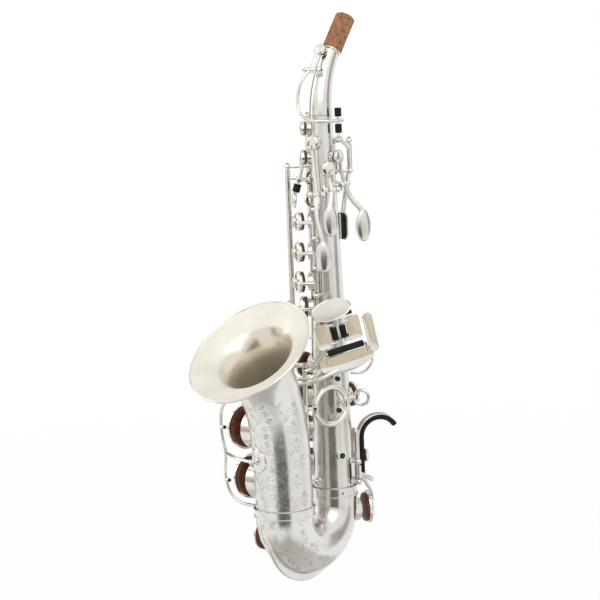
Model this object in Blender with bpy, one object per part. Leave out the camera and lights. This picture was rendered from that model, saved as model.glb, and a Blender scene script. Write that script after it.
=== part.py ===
"""Curved soprano saxophone: tubes, ribs, hinge rods and keys as separate solids.

Lengths are in millimetres, and MM turns them into metres where a mesh is made. The body
tube's axis is Z, with the outside of the bow at z = 0, the bell towards -Y and the player's
left hand at +X. Angles around the body tube run from the bell side towards the left hand.
ORIGIN then moves the whole instrument, so that the strap ring's centre is its origin.
"""
import math

import bmesh
import bpy
from mathutils import Matrix, Vector

MM = 0.001
GAP = 0.3
WALL = 0.9

# Body tube, a straight cone
BODY_LOW = 56.3
BODY_HIGH = 334.0
BODY_LOW_RADIUS = 15.9
BODY_HIGH_RADIUS = 8.2
BODY_SIDES = 20
CHIMNEY_HEIGHT = 2.0

# Bow, half a ring between the body leg and the bell leg
BOW_RADIUS = 28.0
BOW_CENTER_HEIGHT = 47.0
BOW_BODY_LEG_TOP = 56.0
BOW_BELL_LEG_TOP = 52.0
BOW_BODY_RADIUS = 16.2
BOW_BELL_RADIUS = 21.0
BOW_STEPS = 9
BOW_SIDES = 22

# Bell, a bent tube with an exponential flare
BELL_LOW = 52.3
BELL_RIM_CENTER = (-87.0, 173.5)
BELL_RIM_TILT = 40.0
BELL_RIM_RADIUS = 47.5
BELL_TUBE_RADIUS = 21.0
BELL_FLARE_LENGTH = 8.0
BELL_LOW_HANDLE = 55.0
BELL_RIM_HANDLE = 45.0
BELL_SIDES = 26
BELL_STEPS = 12

# Neck, an arc and then the straight end under the cork
NECK_LOW = 334.3
NECK_LEAD = 2.0
NECK_BEND_RADIUS = 74.0
NECK_TILT = 36.0
NECK_END_RADIUS = 6.0
CORK_LENGTH = 29.5
CORK_RADIUS = 7.3
NECK_SIDES = 14

# Keywork
ROD_RADIUS = 0.8
TUBE_RADIUS = 1.9
TUBE_BORE = 1.15
ARM_RADIUS = 1.15
POST_RADIUS = 1.3
BALL_RADIUS = 2.3
PAD_THICKNESS = 2.3
CUP_THICKNESS = 2.4
STACK_PAD_THICKNESS = 3.2
STACK_CUP_THICKNESS = 3.2
PEARL_RADIUS = 4.0
PEARL_HEIGHT = 2.0
STACK_OPENING = 12.0
BELL_KEY_OPENING = 12.0
LOW_C_OPENING = 14.0

# Places around the body tube: angle, reach from the axis
UPPER_PADS = -50.0
UPPER_HINGE = (12.0, 16.2)
LOWER_PADS = -75.0
LOWER_HINGE = (-130.0, 21.0)
STRAP_RING = (118.0, 23.0, 126.0)
THUMB_HOOK_ANGLE = 145.0

# Left-hand table: its middle, the way its plates face, and its roll in its own plane
TABLE_ANGLE = 60.0
TABLE_REACH = 32.0
TABLE_HEIGHT = 170.0
TABLE_ROLL = math.radians(12.0)

SILVER = ("satin_silver", (0.80, 0.79, 0.77), 0.34, 1.0)
POLISHED = ("polished_silver", (0.86, 0.85, 0.83), 0.14, 1.0)
STEEL = ("rod_steel", (0.55, 0.55, 0.56), 0.25, 1.0)
CORK = ("cork", (0.40, 0.20, 0.10), 0.85, 0.0)
LEATHER = ("pad_leather", (0.10, 0.03, 0.015), 0.55, 0.0)
BLACK = ("black_plastic", (0.012, 0.012, 0.012), 0.35, 0.0)


def polar(angle, reach, height=0.0):
    """A point around the body tube."""
    turn = math.radians(angle)
    return Vector((reach * math.sin(turn), -reach * math.cos(turn), height))


def tangent(angle):
    """The level direction along the body tube's surface, towards growing angle."""
    turn = math.radians(angle)
    return Vector((math.cos(turn), math.sin(turn), 0.0))


ORIGIN = polar(*STRAP_RING)
UP = Vector((0.0, 0.0, 1.0))


def metres(point):
    return (Vector(point) - ORIGIN) * MM


def new_collection(name):
    collection = bpy.data.collections.new(name)
    bpy.context.scene.collection.children.link(collection)
    return collection


def clear_scene():
    for item in list(bpy.data.objects):
        bpy.data.objects.remove(item, do_unlink=True)


clear_scene()
PARTS = new_collection("curved_soprano_saxophone")
CUTTERS = new_collection("cutters")


# Building blocks: each returns a closed mesh object that fuse() then uses up

def piece_from(bm):
    mesh = bpy.data.meshes.new("piece")
    bm.to_mesh(mesh)
    bm.free()
    item = bpy.data.objects.new("piece", mesh)
    CUTTERS.objects.link(item)
    return item


def piece_from_curve(curve, matrix=Matrix.Identity(4)):
    """Turn a curve into a mesh piece, with its caps welded on."""
    guide = bpy.data.objects.new("guide", curve)
    CUTTERS.objects.link(guide)
    depsgraph = bpy.context.evaluated_depsgraph_get()
    mesh = bpy.data.meshes.new_from_object(guide.evaluated_get(depsgraph))
    bpy.data.objects.remove(guide, do_unlink=True)
    bm = bmesh.new()
    bm.from_mesh(mesh)
    bpy.data.meshes.remove(mesh)
    bmesh.ops.remove_doubles(bm, verts=bm.verts, dist=1e-6)
    bmesh.ops.transform(bm, matrix=matrix, verts=bm.verts)
    bmesh.ops.recalc_face_normals(bm, faces=bm.faces)
    return piece_from(bm)


def cylinder(start, end, radius, sides=6, end_radius=None):
    low, high = metres(start), metres(end)
    axis = high - low
    turn = axis.to_track_quat("Z", "Y").to_matrix().to_4x4()
    bm = bmesh.new()
    bmesh.ops.create_cone(
        bm,
        cap_ends=True,
        segments=sides,
        radius1=radius * MM,
        radius2=(radius if end_radius is None else end_radius) * MM,
        depth=axis.length,
        matrix=Matrix.Translation((low + high) / 2) @ turn,
    )
    return piece_from(bm)


def frame_at(center, across, up):
    """A placing matrix with local X across, local Y up and local Z facing out."""
    across, up = Vector(across).normalized(), Vector(up).normalized()
    facing = across.cross(up).normalized()
    turn = Matrix((across, up, facing)).transposed().to_4x4()
    return Matrix.Translation(metres(center)) @ turn


def ball(center, radius=BALL_RADIUS):
    bm = bmesh.new()
    bmesh.ops.create_uvsphere(
        bm, u_segments=6, v_segments=4, radius=radius * MM, matrix=Matrix.Translation(metres(center))
    )
    return piece_from(bm)


def spoon(center, across, up, half_width, half_height, half_thickness=1.5):
    """A domed finger touch: a flattened ball."""
    size = Matrix.Diagonal((half_width, half_height, half_thickness, 1.0))
    bm = bmesh.new()
    bmesh.ops.create_uvsphere(
        bm, u_segments=10, v_segments=6, radius=MM, matrix=frame_at(center, across, up) @ size
    )
    return piece_from(bm)


def wire(points, radius=ARM_RADIUS, sides=6, radii=None, closed=False):
    """A round bar along points, or a tapered tube where radii are given."""
    curve = bpy.data.curves.new("wire", "CURVE")
    curve.dimensions = "3D"
    curve.bevel_depth = MM
    curve.bevel_resolution = (sides - 4) // 2
    curve.use_fill_caps = True
    spline = curve.splines.new("POLY")
    spline.points.add(len(points) - 1)
    spline.use_cyclic_u = closed
    sizes = radii or [radius] * len(points)
    for spot, point, size in zip(spline.points, points, sizes):
        spot.co = (*metres(point), 1.0)
        spot.radius = size
    return piece_from_curve(curve)


def plate(outline, thickness, center, across, up):
    """A flat plate from an outline in its own plane, centred on its thickness."""
    curve = bpy.data.curves.new("plate", "CURVE")
    curve.dimensions = "2D"
    curve.fill_mode = "BOTH"
    curve.extrude = thickness * MM / 2
    spline = curve.splines.new("POLY")
    spline.points.add(len(outline) - 1)
    spline.use_cyclic_u = True
    for spot, (x, y) in zip(spline.points, outline):
        spot.co = (x * MM, y * MM, 0.0, 1.0)
    return piece_from_curve(curve, frame_at(center, across, up))


def oval(half_width, half_height, steps=18):
    turns = [2 * math.pi * step / steps for step in range(steps)]
    return [(half_width * math.cos(turn), half_height * math.sin(turn)) for turn in turns]


def rounded(half_width, half_height, corner, steps=3):
    """A rectangle's outline with round corners."""
    outline = []
    for quarter, (side, level) in enumerate(((1, 1), (-1, 1), (-1, -1), (1, -1))):
        for step in range(steps + 1):
            turn = math.radians(90 * (quarter + step / steps))
            x = side * (half_width - corner) + corner * math.cos(turn)
            y = level * (half_height - corner) + corner * math.sin(turn)
            outline.append((x, y))
    return outline


def ring(center, normal_across, normal_up, radius, wire_radius, steps=20):
    """A closed wire ring in the plane of two directions."""
    center = Vector(center)
    points = []
    for step in range(steps):
        turn = 2 * math.pi * step / steps
        points.append(center + radius * (math.cos(turn) * normal_across + math.sin(turn) * normal_up))
    return wire(points, wire_radius, closed=True)


# Fusing pieces into one solid and keeping it as a part

def fuse(pieces, holes=()):
    """One mesh from the union of pieces, less the holes."""
    base = pieces[0]
    others = [(item, "UNION") for item in pieces[1:]] + [(item, "DIFFERENCE") for item in holes]
    for item, operation in others:
        item.hide_render = True
        item.display_type = "WIRE"
        cut = base.modifiers.new(operation, "BOOLEAN")
        cut.operation = operation
        cut.solver = "EXACT"
        cut.object = item
    depsgraph = bpy.context.evaluated_depsgraph_get()
    mesh = bpy.data.meshes.new_from_object(base.evaluated_get(depsgraph))
    for item in [base] + [other for other, _ in others]:
        bpy.data.objects.remove(item, do_unlink=True)
    bm = bmesh.new()
    bm.from_mesh(mesh)
    bmesh.ops.remove_doubles(bm, verts=bm.verts, dist=2e-6)
    bmesh.ops.dissolve_degenerate(bm, edges=bm.edges, dist=2e-6)
    bm.to_mesh(mesh)
    bm.free()
    return mesh


def material(finish):
    name, colour, roughness, metallic = finish
    found = bpy.data.materials.get(name)
    if found:
        return found
    made = bpy.data.materials.new(name)
    made.use_nodes = True
    shader = made.node_tree.nodes["Principled BSDF"]
    shader.inputs["Base Color"].default_value = (*colour, 1.0)
    shader.inputs["Roughness"].default_value = roughness
    shader.inputs["Metallic"].default_value = metallic
    return made


def add_part(name, mesh, finish, pivot=None, axis=UP, turn=0.0):
    """Keep a mesh as a named part, turned about its pivot, with its origin there."""
    origin = metres(pivot) if pivot is not None else Vector((0.0, 0.0, 0.0))
    mesh.transform(Matrix.Translation(-origin))
    mesh.transform(Matrix.Rotation(math.radians(turn), 4, Vector(axis)))
    mesh.name = name
    mesh.materials.clear()
    mesh.materials.append(material(finish))
    mesh.shade_smooth()
    mesh.set_sharp_from_angle(angle=math.radians(35))
    item = bpy.data.objects.new(name, mesh)
    item.location = origin
    PARTS.objects.link(item)
    return item


# Tubes

# Tone holes on the body tube: angle, height, hole radius, key cup radius
TONE_HOLES = {
    "b_key": (UPPER_PADS, 257.5, 4.6, 7.0),
    "a_key": (UPPER_PADS, 235.0, 5.2, 7.6),
    "g_key": (UPPER_PADS, 213.0, 5.8, 8.2),
    "g_sharp_key": (UPPER_PADS, 194.0, 6.0, 8.4),
    "f_key": (LOWER_PADS, 150.0, 7.0, 9.5),
    "e_key": (LOWER_PADS, 126.0, 7.6, 10.0),
    "d_key": (LOWER_PADS, 101.0, 8.2, 10.8),
    "eb_key": (LOWER_PADS, 76.0, 8.4, 11.0),
    "palm_d_key": (12.0, 315.0, 3.4, 5.2),
    "palm_eb_key": (58.0, 296.0, 3.6, 5.4),
    "palm_f_key": (98.0, 304.0, 3.4, 5.2),
    "front_f_key": (UPPER_PADS, 304.0, 3.8, 5.8),
    "side_e_key": (UPPER_PADS, 325.0, 3.4, 5.4),
    "side_c_key": (-100.0, 288.0, 3.8, 5.6),
    "side_bb_key": (-100.0, 272.0, 4.0, 5.6),
    "side_f_sharp_key": (165.0, 126.0, 6.0, 9.3),
}

# Large tone holes: centre on the tube's axis, way out, tube surface, seat, hole radius, cup radius
LOW_BB_HOLE = (Vector((0, -59.6, 111)), Vector((-1, 0, 0)), 21.0, 24.5, 13.2, 16.8)
LOW_B_HOLE = (Vector((0, -56.8, 73)), Vector((-1, 0, 0)), 21.0, 24.5, 13.2, 16.8)
LOW_C_SHARP_HOLE = (Vector((0, -50.2, 30)), Vector((-1, 0, 0)), 20.0, 23.0, 8.5, 11.8)
LOW_C_HOLE = (Vector((0, -0.9, 40)), polar(160.0, 1.0), 16.4, 19.0, 9.0, 12.4)


def body_radius(height):
    share = (height - BODY_LOW) / (BODY_HIGH - BODY_LOW)
    return BODY_LOW_RADIUS + share * (BODY_HIGH_RADIUS - BODY_LOW_RADIUS)


def chimney(base, way, surface, seat, hole, sides=16):
    """A tone hole's raised rim, and the hole through it."""
    rim = cylinder(base + way * (surface * 0.45), base + way * seat, hole + WALL, sides)
    drill = cylinder(base + way * (surface / 3), base + way * (seat + 5), hole, sides)
    return rim, drill


def make_body_tube():
    reach = 2.0
    pieces = [
        cylinder((0, 0, BODY_LOW), (0, 0, BODY_HIGH), BODY_LOW_RADIUS, BODY_SIDES, BODY_HIGH_RADIUS)
    ]
    low, high = BODY_LOW - reach, BODY_HIGH + reach
    bore = cylinder(
        (0, 0, low), (0, 0, high), body_radius(low) - WALL, BODY_SIDES, body_radius(high) - WALL
    )
    holes = [bore]
    for angle, height, hole, _ in TONE_HOLES.values():
        surface = body_radius(height)
        base = Vector((0, 0, height))
        rim, drill = chimney(base, polar(angle, 1.0), surface, surface + CHIMNEY_HEIGHT, hole, 10)
        pieces.append(rim)
        holes.append(drill)
    add_part("body_tube", fuse(pieces, holes), SILVER)


def bow_path(extra=0.0):
    """The bow's centreline and radii, from the body leg round to the bell leg."""
    points = [Vector((0, 0, BOW_BODY_LEG_TOP + extra))]
    radii = [BOW_BODY_RADIUS]
    for step in range(BOW_STEPS + 1):
        share = step / BOW_STEPS
        turn = math.pi * share
        y = -BOW_RADIUS * (1 - math.cos(turn))
        z = BOW_CENTER_HEIGHT - BOW_RADIUS * math.sin(turn)
        points.append(Vector((0, y, z)))
        radii.append(BOW_BODY_RADIUS + share * (BOW_BELL_RADIUS - BOW_BODY_RADIUS))
    points.append(Vector((0, -2 * BOW_RADIUS, BOW_BELL_LEG_TOP + extra)))
    radii.append(BOW_BELL_RADIUS)
    return points, radii


def hollow(points, radii, inner_points, inner_radii, sides, tone_holes=()):
    pieces = [wire(points, sides=sides, radii=radii)]
    holes = [wire(inner_points, sides=sides, radii=inner_radii)]
    for base, way, surface, seat, hole, _ in tone_holes:
        rim, drill = chimney(base, way, surface, seat, hole)
        pieces.append(rim)
        holes.append(drill)
    return fuse(pieces, holes)


def make_bow():
    points, radii = bow_path()
    inner, inner_radii = bow_path(extra=2.0)
    inner_radii = [radius - WALL for radius in inner_radii]
    mesh = hollow(points, radii, inner, inner_radii, BOW_SIDES, [LOW_C_HOLE, LOW_C_SHARP_HOLE])
    add_part("bow", mesh, SILVER)


def bell_point(share):
    """A point of the bell's centreline, a cubic from the bow to the rim."""
    tilt = math.radians(BELL_RIM_TILT)
    start = Vector((0, -2 * BOW_RADIUS, BELL_LOW))
    end = Vector((0, *BELL_RIM_CENTER))
    facing = Vector((0, -math.sin(tilt), math.cos(tilt)))
    first = start + UP * BELL_LOW_HANDLE
    second = end - facing * BELL_RIM_HANDLE
    rest = 1 - share
    return (
        start * rest**3 + first * 3 * share * rest**2 + second * 3 * share**2 * rest + end * share**3
    )


def bell_path(inset=0.0):
    """The bell's centreline and radii, closer together towards the rim."""
    steps = BELL_STEPS
    points = [bell_point(1 - (1 - step / steps) ** 1.8) for step in range(steps + 1)]
    left = 0.0
    radii = [0.0] * len(points)
    for index in range(steps, -1, -1):
        flare = (BELL_RIM_RADIUS - BELL_TUBE_RADIUS) * math.exp(-left / BELL_FLARE_LENGTH)
        radii[index] = BELL_TUBE_RADIUS + flare - inset
        if index:
            left += (points[index] - points[index - 1]).length
    return points, radii


def make_bell():
    points, radii = bell_path()
    inner, inner_radii = bell_path(inset=WALL)
    # The bore runs past both ends, and its mouth lies a wall's thickness above the outer flare.
    rim_way = (inner[-1] - inner[-2]).normalized()
    inner = [inner[0] - UP * 2.0] + [point + rim_way * WALL * 0.6 for point in inner[1:]]
    inner.append(inner[-1] + rim_way * 3.0)
    inner_radii = inner_radii + [inner_radii[-1]]
    mesh = hollow(points, radii, inner, inner_radii, BELL_SIDES, [LOW_BB_HOLE, LOW_B_HOLE])
    add_part("bell", mesh, SILVER)


def neck_point(distance):
    """A point of the neck's centreline and the way it runs there."""
    bend = math.radians(NECK_TILT)
    turn = min(distance / NECK_BEND_RADIUS, bend)
    way = Vector((0, math.sin(turn), math.cos(turn)))
    y = NECK_BEND_RADIUS * (1 - math.cos(turn))
    z = NECK_LOW + NECK_LEAD + NECK_BEND_RADIUS * math.sin(turn)
    return Vector((0, y, z)) + way * max(0.0, distance - NECK_BEND_RADIUS * bend), way


NECK_ARC = NECK_BEND_RADIUS * math.radians(NECK_TILT)
PIP_DISTANCE = NECK_ARC - 5.0
PIP_HEIGHT = 8.2


def pip_frame():
    """The octave pip's place on the neck, and the way it stands out to the front."""
    center, way = neck_point(PIP_DISTANCE)
    return center, Vector((0, -way.z, way.y))


def make_neck():
    steps = 7
    arc = [NECK_ARC * step / steps for step in range(steps + 1)]
    places = arc + [NECK_ARC + CORK_LENGTH]
    radii = [
        BODY_HIGH_RADIUS + (NECK_END_RADIUS - BODY_HIGH_RADIUS) * min(1.0, place / NECK_ARC)
        for place in places
    ]
    # A short straight lead at each end keeps the end faces square to the tube.
    points = [Vector((0, 0, NECK_LOW))] + [neck_point(place)[0] for place in places]
    radii = [BODY_HIGH_RADIUS] + radii
    inner = [points[0] - UP * 2.0] + points[1:-1] + [neck_point(places[-1] + 2.0)[0]]
    center, way = pip_frame()
    pip = cylinder(center + way * 4.0, center + way * PIP_HEIGHT, 1.7)
    vent = cylinder(center + way * 2.0, center + way * (PIP_HEIGHT + 3.0), 0.8)
    tube = wire(points, sides=NECK_SIDES, radii=radii)
    bore = wire(inner, sides=NECK_SIDES, radii=[radius - WALL for radius in radii])
    add_part("neck_tube", fuse([tube, pip], [bore, vent]), SILVER)

    low, _ = neck_point(NECK_ARC + 1.0)
    high, way = neck_point(NECK_ARC + CORK_LENGTH)
    cork = cylinder(low, high, CORK_RADIUS, NECK_SIDES)
    core = cylinder(low - way, high + way, NECK_END_RADIUS + GAP, NECK_SIDES)
    add_part("neck_cork", fuse([cork], [core]), CORK)


def make_band(name, center, radius, half_height, thickness=1.1):
    """A connecting ring round a joint between two tubes."""
    center = Vector(center)
    outer = cylinder(
        center - UP * half_height, center + UP * half_height, radius + GAP + thickness, 28
    )
    inner = cylinder(center - UP * 20, center + UP * 20, radius + GAP, 28)
    add_part(name, fuse([outer], [inner]), POLISHED)


def make_bow_guard():
    """A crescent plate along the outside of the bow's bottom, in the plane of the bow."""
    steps = 14
    first, last = math.radians(18.0), math.radians(122.0)
    rows = []
    for step in range(steps + 1):
        share = step / steps
        turn = first + share * (last - first)
        surface = BOW_BELL_RADIUS + (BOW_BODY_RADIUS - BOW_BELL_RADIUS) * turn / math.pi
        inner = BOW_RADIUS + surface + 0.6
        outer = inner + 1.2 + 4.0 * math.sin(math.pi * share)
        rows.append((turn, inner, outer))
    outline = [(-math.cos(turn) * outer, -math.sin(turn) * outer) for turn, _, outer in rows]
    outline += [(-math.cos(turn) * inner, -math.sin(turn) * inner) for turn, inner, _ in rows[::-1]]
    center = (0, -BOW_RADIUS, BOW_CENTER_HEIGHT)
    guard = plate(outline, 3.0, center, (0, 1, 0), (0, 0, 1))
    add_part("bow_guard", fuse([guard]), POLISHED)


make_body_tube()
make_bow()
make_bell()
make_neck()
make_band("body_bow_ring", (0, 0, 56.5), BOW_BODY_RADIUS, 4.0)
make_band("bell_bow_ring", (0, -2 * BOW_RADIUS, 52.0), BOW_BELL_RADIUS + 0.2, 3.5)
make_bow_guard()


# Ribs, posts and hinge rods

def rib_bar(angle, low, high, half_width=2.0, thickness=1.2):
    """A flat bar lying along the body tube."""
    stand = GAP + thickness / 2
    start = polar(angle, body_radius(low) + stand, low)
    end = polar(angle, body_radius(high) + stand, high)
    outline = rounded(half_width, (end - start).length / 2, half_width * 0.9)
    return plate(outline, thickness, (start + end) / 2, tangent(angle), end - start)


def post(angle, reach, height):
    """A turned post standing on the body tube, with its ball at the reach."""
    foot = polar(angle, body_radius(height) + GAP + 0.6, height)
    head = polar(angle, reach, height)
    return [cylinder(foot, head, POST_RADIUS), ball(head)]


def make_stack_carrier(name, hinge, bar, heights):
    """A stack's rib with its posts, and the steel rod that runs through them."""
    angle, reach = hinge
    pieces = [rib_bar(angle, *bar)]
    for height in heights:
        pieces += post(angle, reach, height)
    low, high = heights[0] - 3.0, heights[-1] + 3.0
    bore = cylinder(polar(angle, reach, low - 2), polar(angle, reach, high + 2), TUBE_BORE)
    add_part(name + "_rib", fuse(pieces, [bore]), POLISHED)
    rod = cylinder(polar(angle, reach, low), polar(angle, reach, high), ROD_RADIUS)
    add_part(name + "_rod", fuse([rod]), STEEL)


def pad_and_cup(base, way, seat, radius, sides=12, sizes=(PAD_THICKNESS, CUP_THICKNESS)):
    """A pad and the key cup that holds it, standing on a closed tone hole."""
    pad_thickness, cup_thickness = sizes
    low = seat + GAP
    middle = low + pad_thickness
    high = middle + cup_thickness
    pad = cylinder(base + way * low, base + way * (middle + 0.5), radius - 0.8, sides)
    cup = cylinder(base + way * middle, base + way * high, radius, sides, radius * 0.86)
    return [cup, pad], base + way * (middle + cup_thickness / 2), base + way * high


def hinge_tube(start, end):
    return cylinder(start, end, TUBE_RADIUS)


POST_CLEAR = BALL_RADIUS + GAP


def make_stack_key(name, hinge, low_post, high_post, opening, pearl=True, extra=()):
    """A key of either stack, closed over its tone hole and then turned open."""
    angle, height, _, radius = TONE_HOLES[name]
    base, way = Vector((0, 0, height)), polar(angle, 1.0)
    seat = body_radius(height) + CHIMNEY_HEIGHT
    sizes = (STACK_PAD_THICKNESS, STACK_CUP_THICKNESS)
    pieces, middle, top = pad_and_cup(base, way, seat, radius, sizes=sizes)
    pivot = polar(*hinge, height)
    side = tangent(angle)
    side = side if side.dot(pivot) > 0 else -side
    corner = middle + side * (radius + 2.2)
    low, high = polar(*hinge, low_post + POST_CLEAR), polar(*hinge, high_post - POST_CLEAR)
    tube = hinge_tube(low, high)
    drills = [cylinder(low - UP * 2, high + UP * 2, TUBE_BORE)]
    pieces += [wire([pivot, corner, middle]), tube]
    if pearl:
        pieces.append(cylinder(top - way * 0.5, top + way * PEARL_HEIGHT, PEARL_RADIUS, 10))
    pieces += [make() for make in extra]
    add_part(name, fuse(pieces, drills), POLISHED, pivot, UP, opening)


UPPER_POSTS = (184.0, 204.0, 224.0, 246.0, 267.0)
LOWER_POSTS = (71.0, 88.0, 113.0, 138.0, 163.0)


def make_stacks():
    make_stack_carrier("upper_stack", UPPER_HINGE, (181.0, 270.0), UPPER_POSTS)
    for index, name in enumerate(("g_sharp_key", "g_key", "a_key", "b_key")):
        closed = name == "g_sharp_key"
        opening = 0.0 if closed else STACK_OPENING
        make_stack_key(
            name, UPPER_HINGE, UPPER_POSTS[index], UPPER_POSTS[index + 1], opening, not closed
        )

    make_stack_carrier("lower_stack", LOWER_HINGE, (69.0, 165.0), LOWER_POSTS)
    for index, name in enumerate(("eb_key", "d_key", "e_key", "f_key")):
        closed = name == "eb_key"
        opening = 0.0 if closed else -STACK_OPENING
        extra = [eb_touch, eb_touch_arm] if closed else []
        make_stack_key(
            name, LOWER_HINGE, LOWER_POSTS[index], LOWER_POSTS[index + 1], opening, not closed, extra
        )


EB_TOUCH = polar(-163.0, 27.0, 76.0)


def eb_touch():
    return spoon(EB_TOUCH, tangent(-163.0), UP, 4.5, 7.5)


def eb_touch_arm():
    return wire([polar(*LOWER_HINGE, 76.0), EB_TOUCH])


# Rocking keys: the pad above a level hinge, the finger touch below it

ROCKER_HALF = 2.4

# Angle, reach and height of the hinge, the arm's knee and the touch, the way the touch faces,
# and the touch's half sizes
ROCKERS = {
    "palm_d_key": ((24.0, 17.0, 278.0), (24.0, 20.5, 262.0), (36.0, 22.5, 233.0), 36.0, (6.0, 11.5)),
    "palm_eb_key": ((62.0, 17.0, 281.0), (57.0, 20.0, 271.0), (52.0, 21.5, 259.0), 52.0, (6.0, 11.5)),
    "palm_f_key": ((104.0, 17.5, 284.0), (108.0, 20.5, 274.0), (112.0, 30.0, 254.0), 62.0, (6.0, 12.0)),
    "front_f_key": ((-50.0, 17.5, 288.0), (-50.0, 20.5, 278.0), (-50.0, 21.5, 273.0), -50.0, (4.0, 6.0)),
}


def make_rocker_key(name):
    angle, height, _, radius = TONE_HOLES[name]
    hinge, bend, reach, facing, (half_width, half_height) = ROCKERS[name]
    base, way = Vector((0, 0, height)), polar(angle, 1.0)
    seat = body_radius(height) + CHIMNEY_HEIGHT
    pieces, middle, _ = pad_and_cup(base, way, seat, radius, 12)
    pivot = polar(*hinge)
    along = tangent(hinge[0])
    tube = hinge_tube(pivot - along * ROCKER_HALF, pivot + along * ROCKER_HALF)
    touch = polar(*reach)
    shoulder = middle - UP * (radius + 1.5)
    pieces += [
        wire([middle, shoulder, pivot]),
        wire([pivot, polar(*bend), touch + UP * half_height * 0.6], 1.4),
        spoon(touch, tangent(facing), UP, half_width, half_height),
        tube,
    ]
    add_part(name, fuse(pieces), POLISHED, pivot)


def rocker_posts(name):
    """The two posts at the ends of a rocking key's hinge, from a common foot on the body."""
    angle, reach, height = ROCKERS[name][0]
    pieces = []
    for side in (-1, 1):
        end = polar(angle, reach, height) + tangent(angle) * side * (ROCKER_HALF + POST_CLEAR)
        turn = math.degrees(math.atan2(end.x, -end.y))
        foot = polar(turn, body_radius(height) + 1.4, height)
        pieces += [cylinder(foot, end, POST_RADIUS), ball(end)]
    return pieces


def band_arc(first, last, height, steps):
    """A wire lying round part of the body tube, from one angle and height to another."""
    points = []
    for step in range(steps + 1):
        share = step / steps
        level = height[0] + share * (height[1] - height[0])
        angle = first + share * (last - first)
        points.append(polar(angle, body_radius(level) + 1.6, level))
    return wire(points, 1.2)


def make_palm_keys():
    names = ("palm_d_key", "palm_eb_key", "palm_f_key")
    pieces = [band_arc(4.0, 124.0, (277.0, 285.0), 12)]
    for name in names:
        pieces += rocker_posts(name)
    add_part("palm_key_rib", fuse(pieces), POLISHED)
    front = [band_arc(UPPER_PADS - 20.0, UPPER_PADS + 20.0, (288.0, 288.0), 5)]
    front += rocker_posts("front_f_key")
    add_part("front_f_rib", fuse(front), POLISHED)
    for name in ROCKERS:
        make_rocker_key(name)


make_stacks()
make_palm_keys()


# Low keys: long rods between the bell and the body, worked from the left-hand table

LOW_BB_ROD = Vector((-18.0, -35.0, 0.0))
LOW_B_ROD = Vector((-11.0, -30.0, 0.0))
C_SHARP_ROD = Vector((-3.0, -25.0, 0.0))
LOW_BRACKET = 65.5
HIGH_BRACKET = 153.5
BRACKET_RADIUS = 1.8
BIG_PAD_THICKNESS = 3.2
BIG_CUP_THICKNESS = 2.8
TABLE_PLATE = 1.6
ROLLER_RADIUS = 2.4


def at(rod, height):
    return rod + UP * height


TABLE_RIGHT = tangent(TABLE_ANGLE) * math.cos(TABLE_ROLL) + UP * math.sin(TABLE_ROLL)
TABLE_UP = UP * math.cos(TABLE_ROLL) - tangent(TABLE_ANGLE) * math.sin(TABLE_ROLL)


def table_point(along, rise, out=0.0):
    """A point of the left-hand table's rolled plane, from its middle."""
    middle = polar(TABLE_ANGLE, TABLE_REACH + out, TABLE_HEIGHT)
    return middle + TABLE_RIGHT * along + TABLE_UP * rise


def table_plate(outline, along, rise, out=0.0):
    return plate(outline, TABLE_PLATE, table_point(along, rise, out), TABLE_RIGHT, TABLE_UP)


def d_outline(half_width, half_height, steps=8):
    """A plate with a straight top and a bowed bottom."""
    outline = [(half_width, half_height), (-half_width, half_height)]
    for step in range(steps + 1):
        turn = math.pi * (1 + step / steps)
        outline.append((half_width * math.cos(turn), half_height * (0.2 + 1.2 * math.sin(turn))))
    return outline


def body_foot(angle, height, radius=3.2, thickness=1.4):
    """A round foot soldered to the body tube."""
    surface = body_radius(height) + GAP
    return cylinder(polar(angle, surface, height), polar(angle, surface + thickness, height), radius, 10)


def make_low_brackets():
    for name, height in (("low_key_lower_bracket", LOW_BRACKET), ("low_key_upper_bracket", HIGH_BRACKET)):
        foot = polar(-7.0, body_radius(height) + 1.0, height)
        route = [at(LOW_BB_ROD, height), at(LOW_B_ROD, height), at(C_SHARP_ROD, height), foot]
        add_part(name, fuse([wire(route, BRACKET_RADIUS, 8), body_foot(-7.0, height)]), POLISHED)


def rod_tube(rod):
    """A low key's long tube, held between the two brackets."""
    clear = BRACKET_RADIUS + GAP
    return hinge_tube(at(rod, LOW_BRACKET + clear), at(rod, HIGH_BRACKET - clear))


def big_pad_and_cup(hole):
    """A large key's cup, its separate pad, and the cup's middle."""
    base, way, _, seat, _, radius = hole
    low = seat + GAP
    middle = low + BIG_PAD_THICKNESS
    pad = cylinder(base + way * low, base + way * middle, radius - 0.6, 18)
    start = middle + GAP
    cup = cylinder(
        base + way * start, base + way * (start + BIG_CUP_THICKNESS), radius, 18, radius * 0.88
    )
    return cup, pad, base + way * (start + BIG_CUP_THICKNESS / 2)


def make_bell_key(name, hole, rod, pad_route, touch):
    """A low B or B-flat key: touch plate, long tube and cup in one, and its pad."""
    cup, pad, middle = big_pad_and_cup(hole)
    pivot = at(rod, middle.z)
    route = [pivot] + [Vector((*place, middle.z)) for place in pad_route] + [middle]
    pieces = [cup, rod_tube(rod), wire(route, 1.5)] + touch
    add_part(name + "_key", fuse(pieces), POLISHED, pivot, UP, -BELL_KEY_OPENING)
    add_part(name + "_pad", fuse([pad]), LEATHER, pivot, UP, -BELL_KEY_OPENING)


def turned_back(solids, rod, turn):
    """Solids drawn where they rest, turned back so that the key's own turn returns them."""
    back = (
        Matrix.Translation(metres(rod))
        @ Matrix.Rotation(math.radians(-turn), 4, "Z")
        @ Matrix.Translation(-metres(rod))
    )
    for item in solids:
        item.data.transform(back)
    return solids


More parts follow.
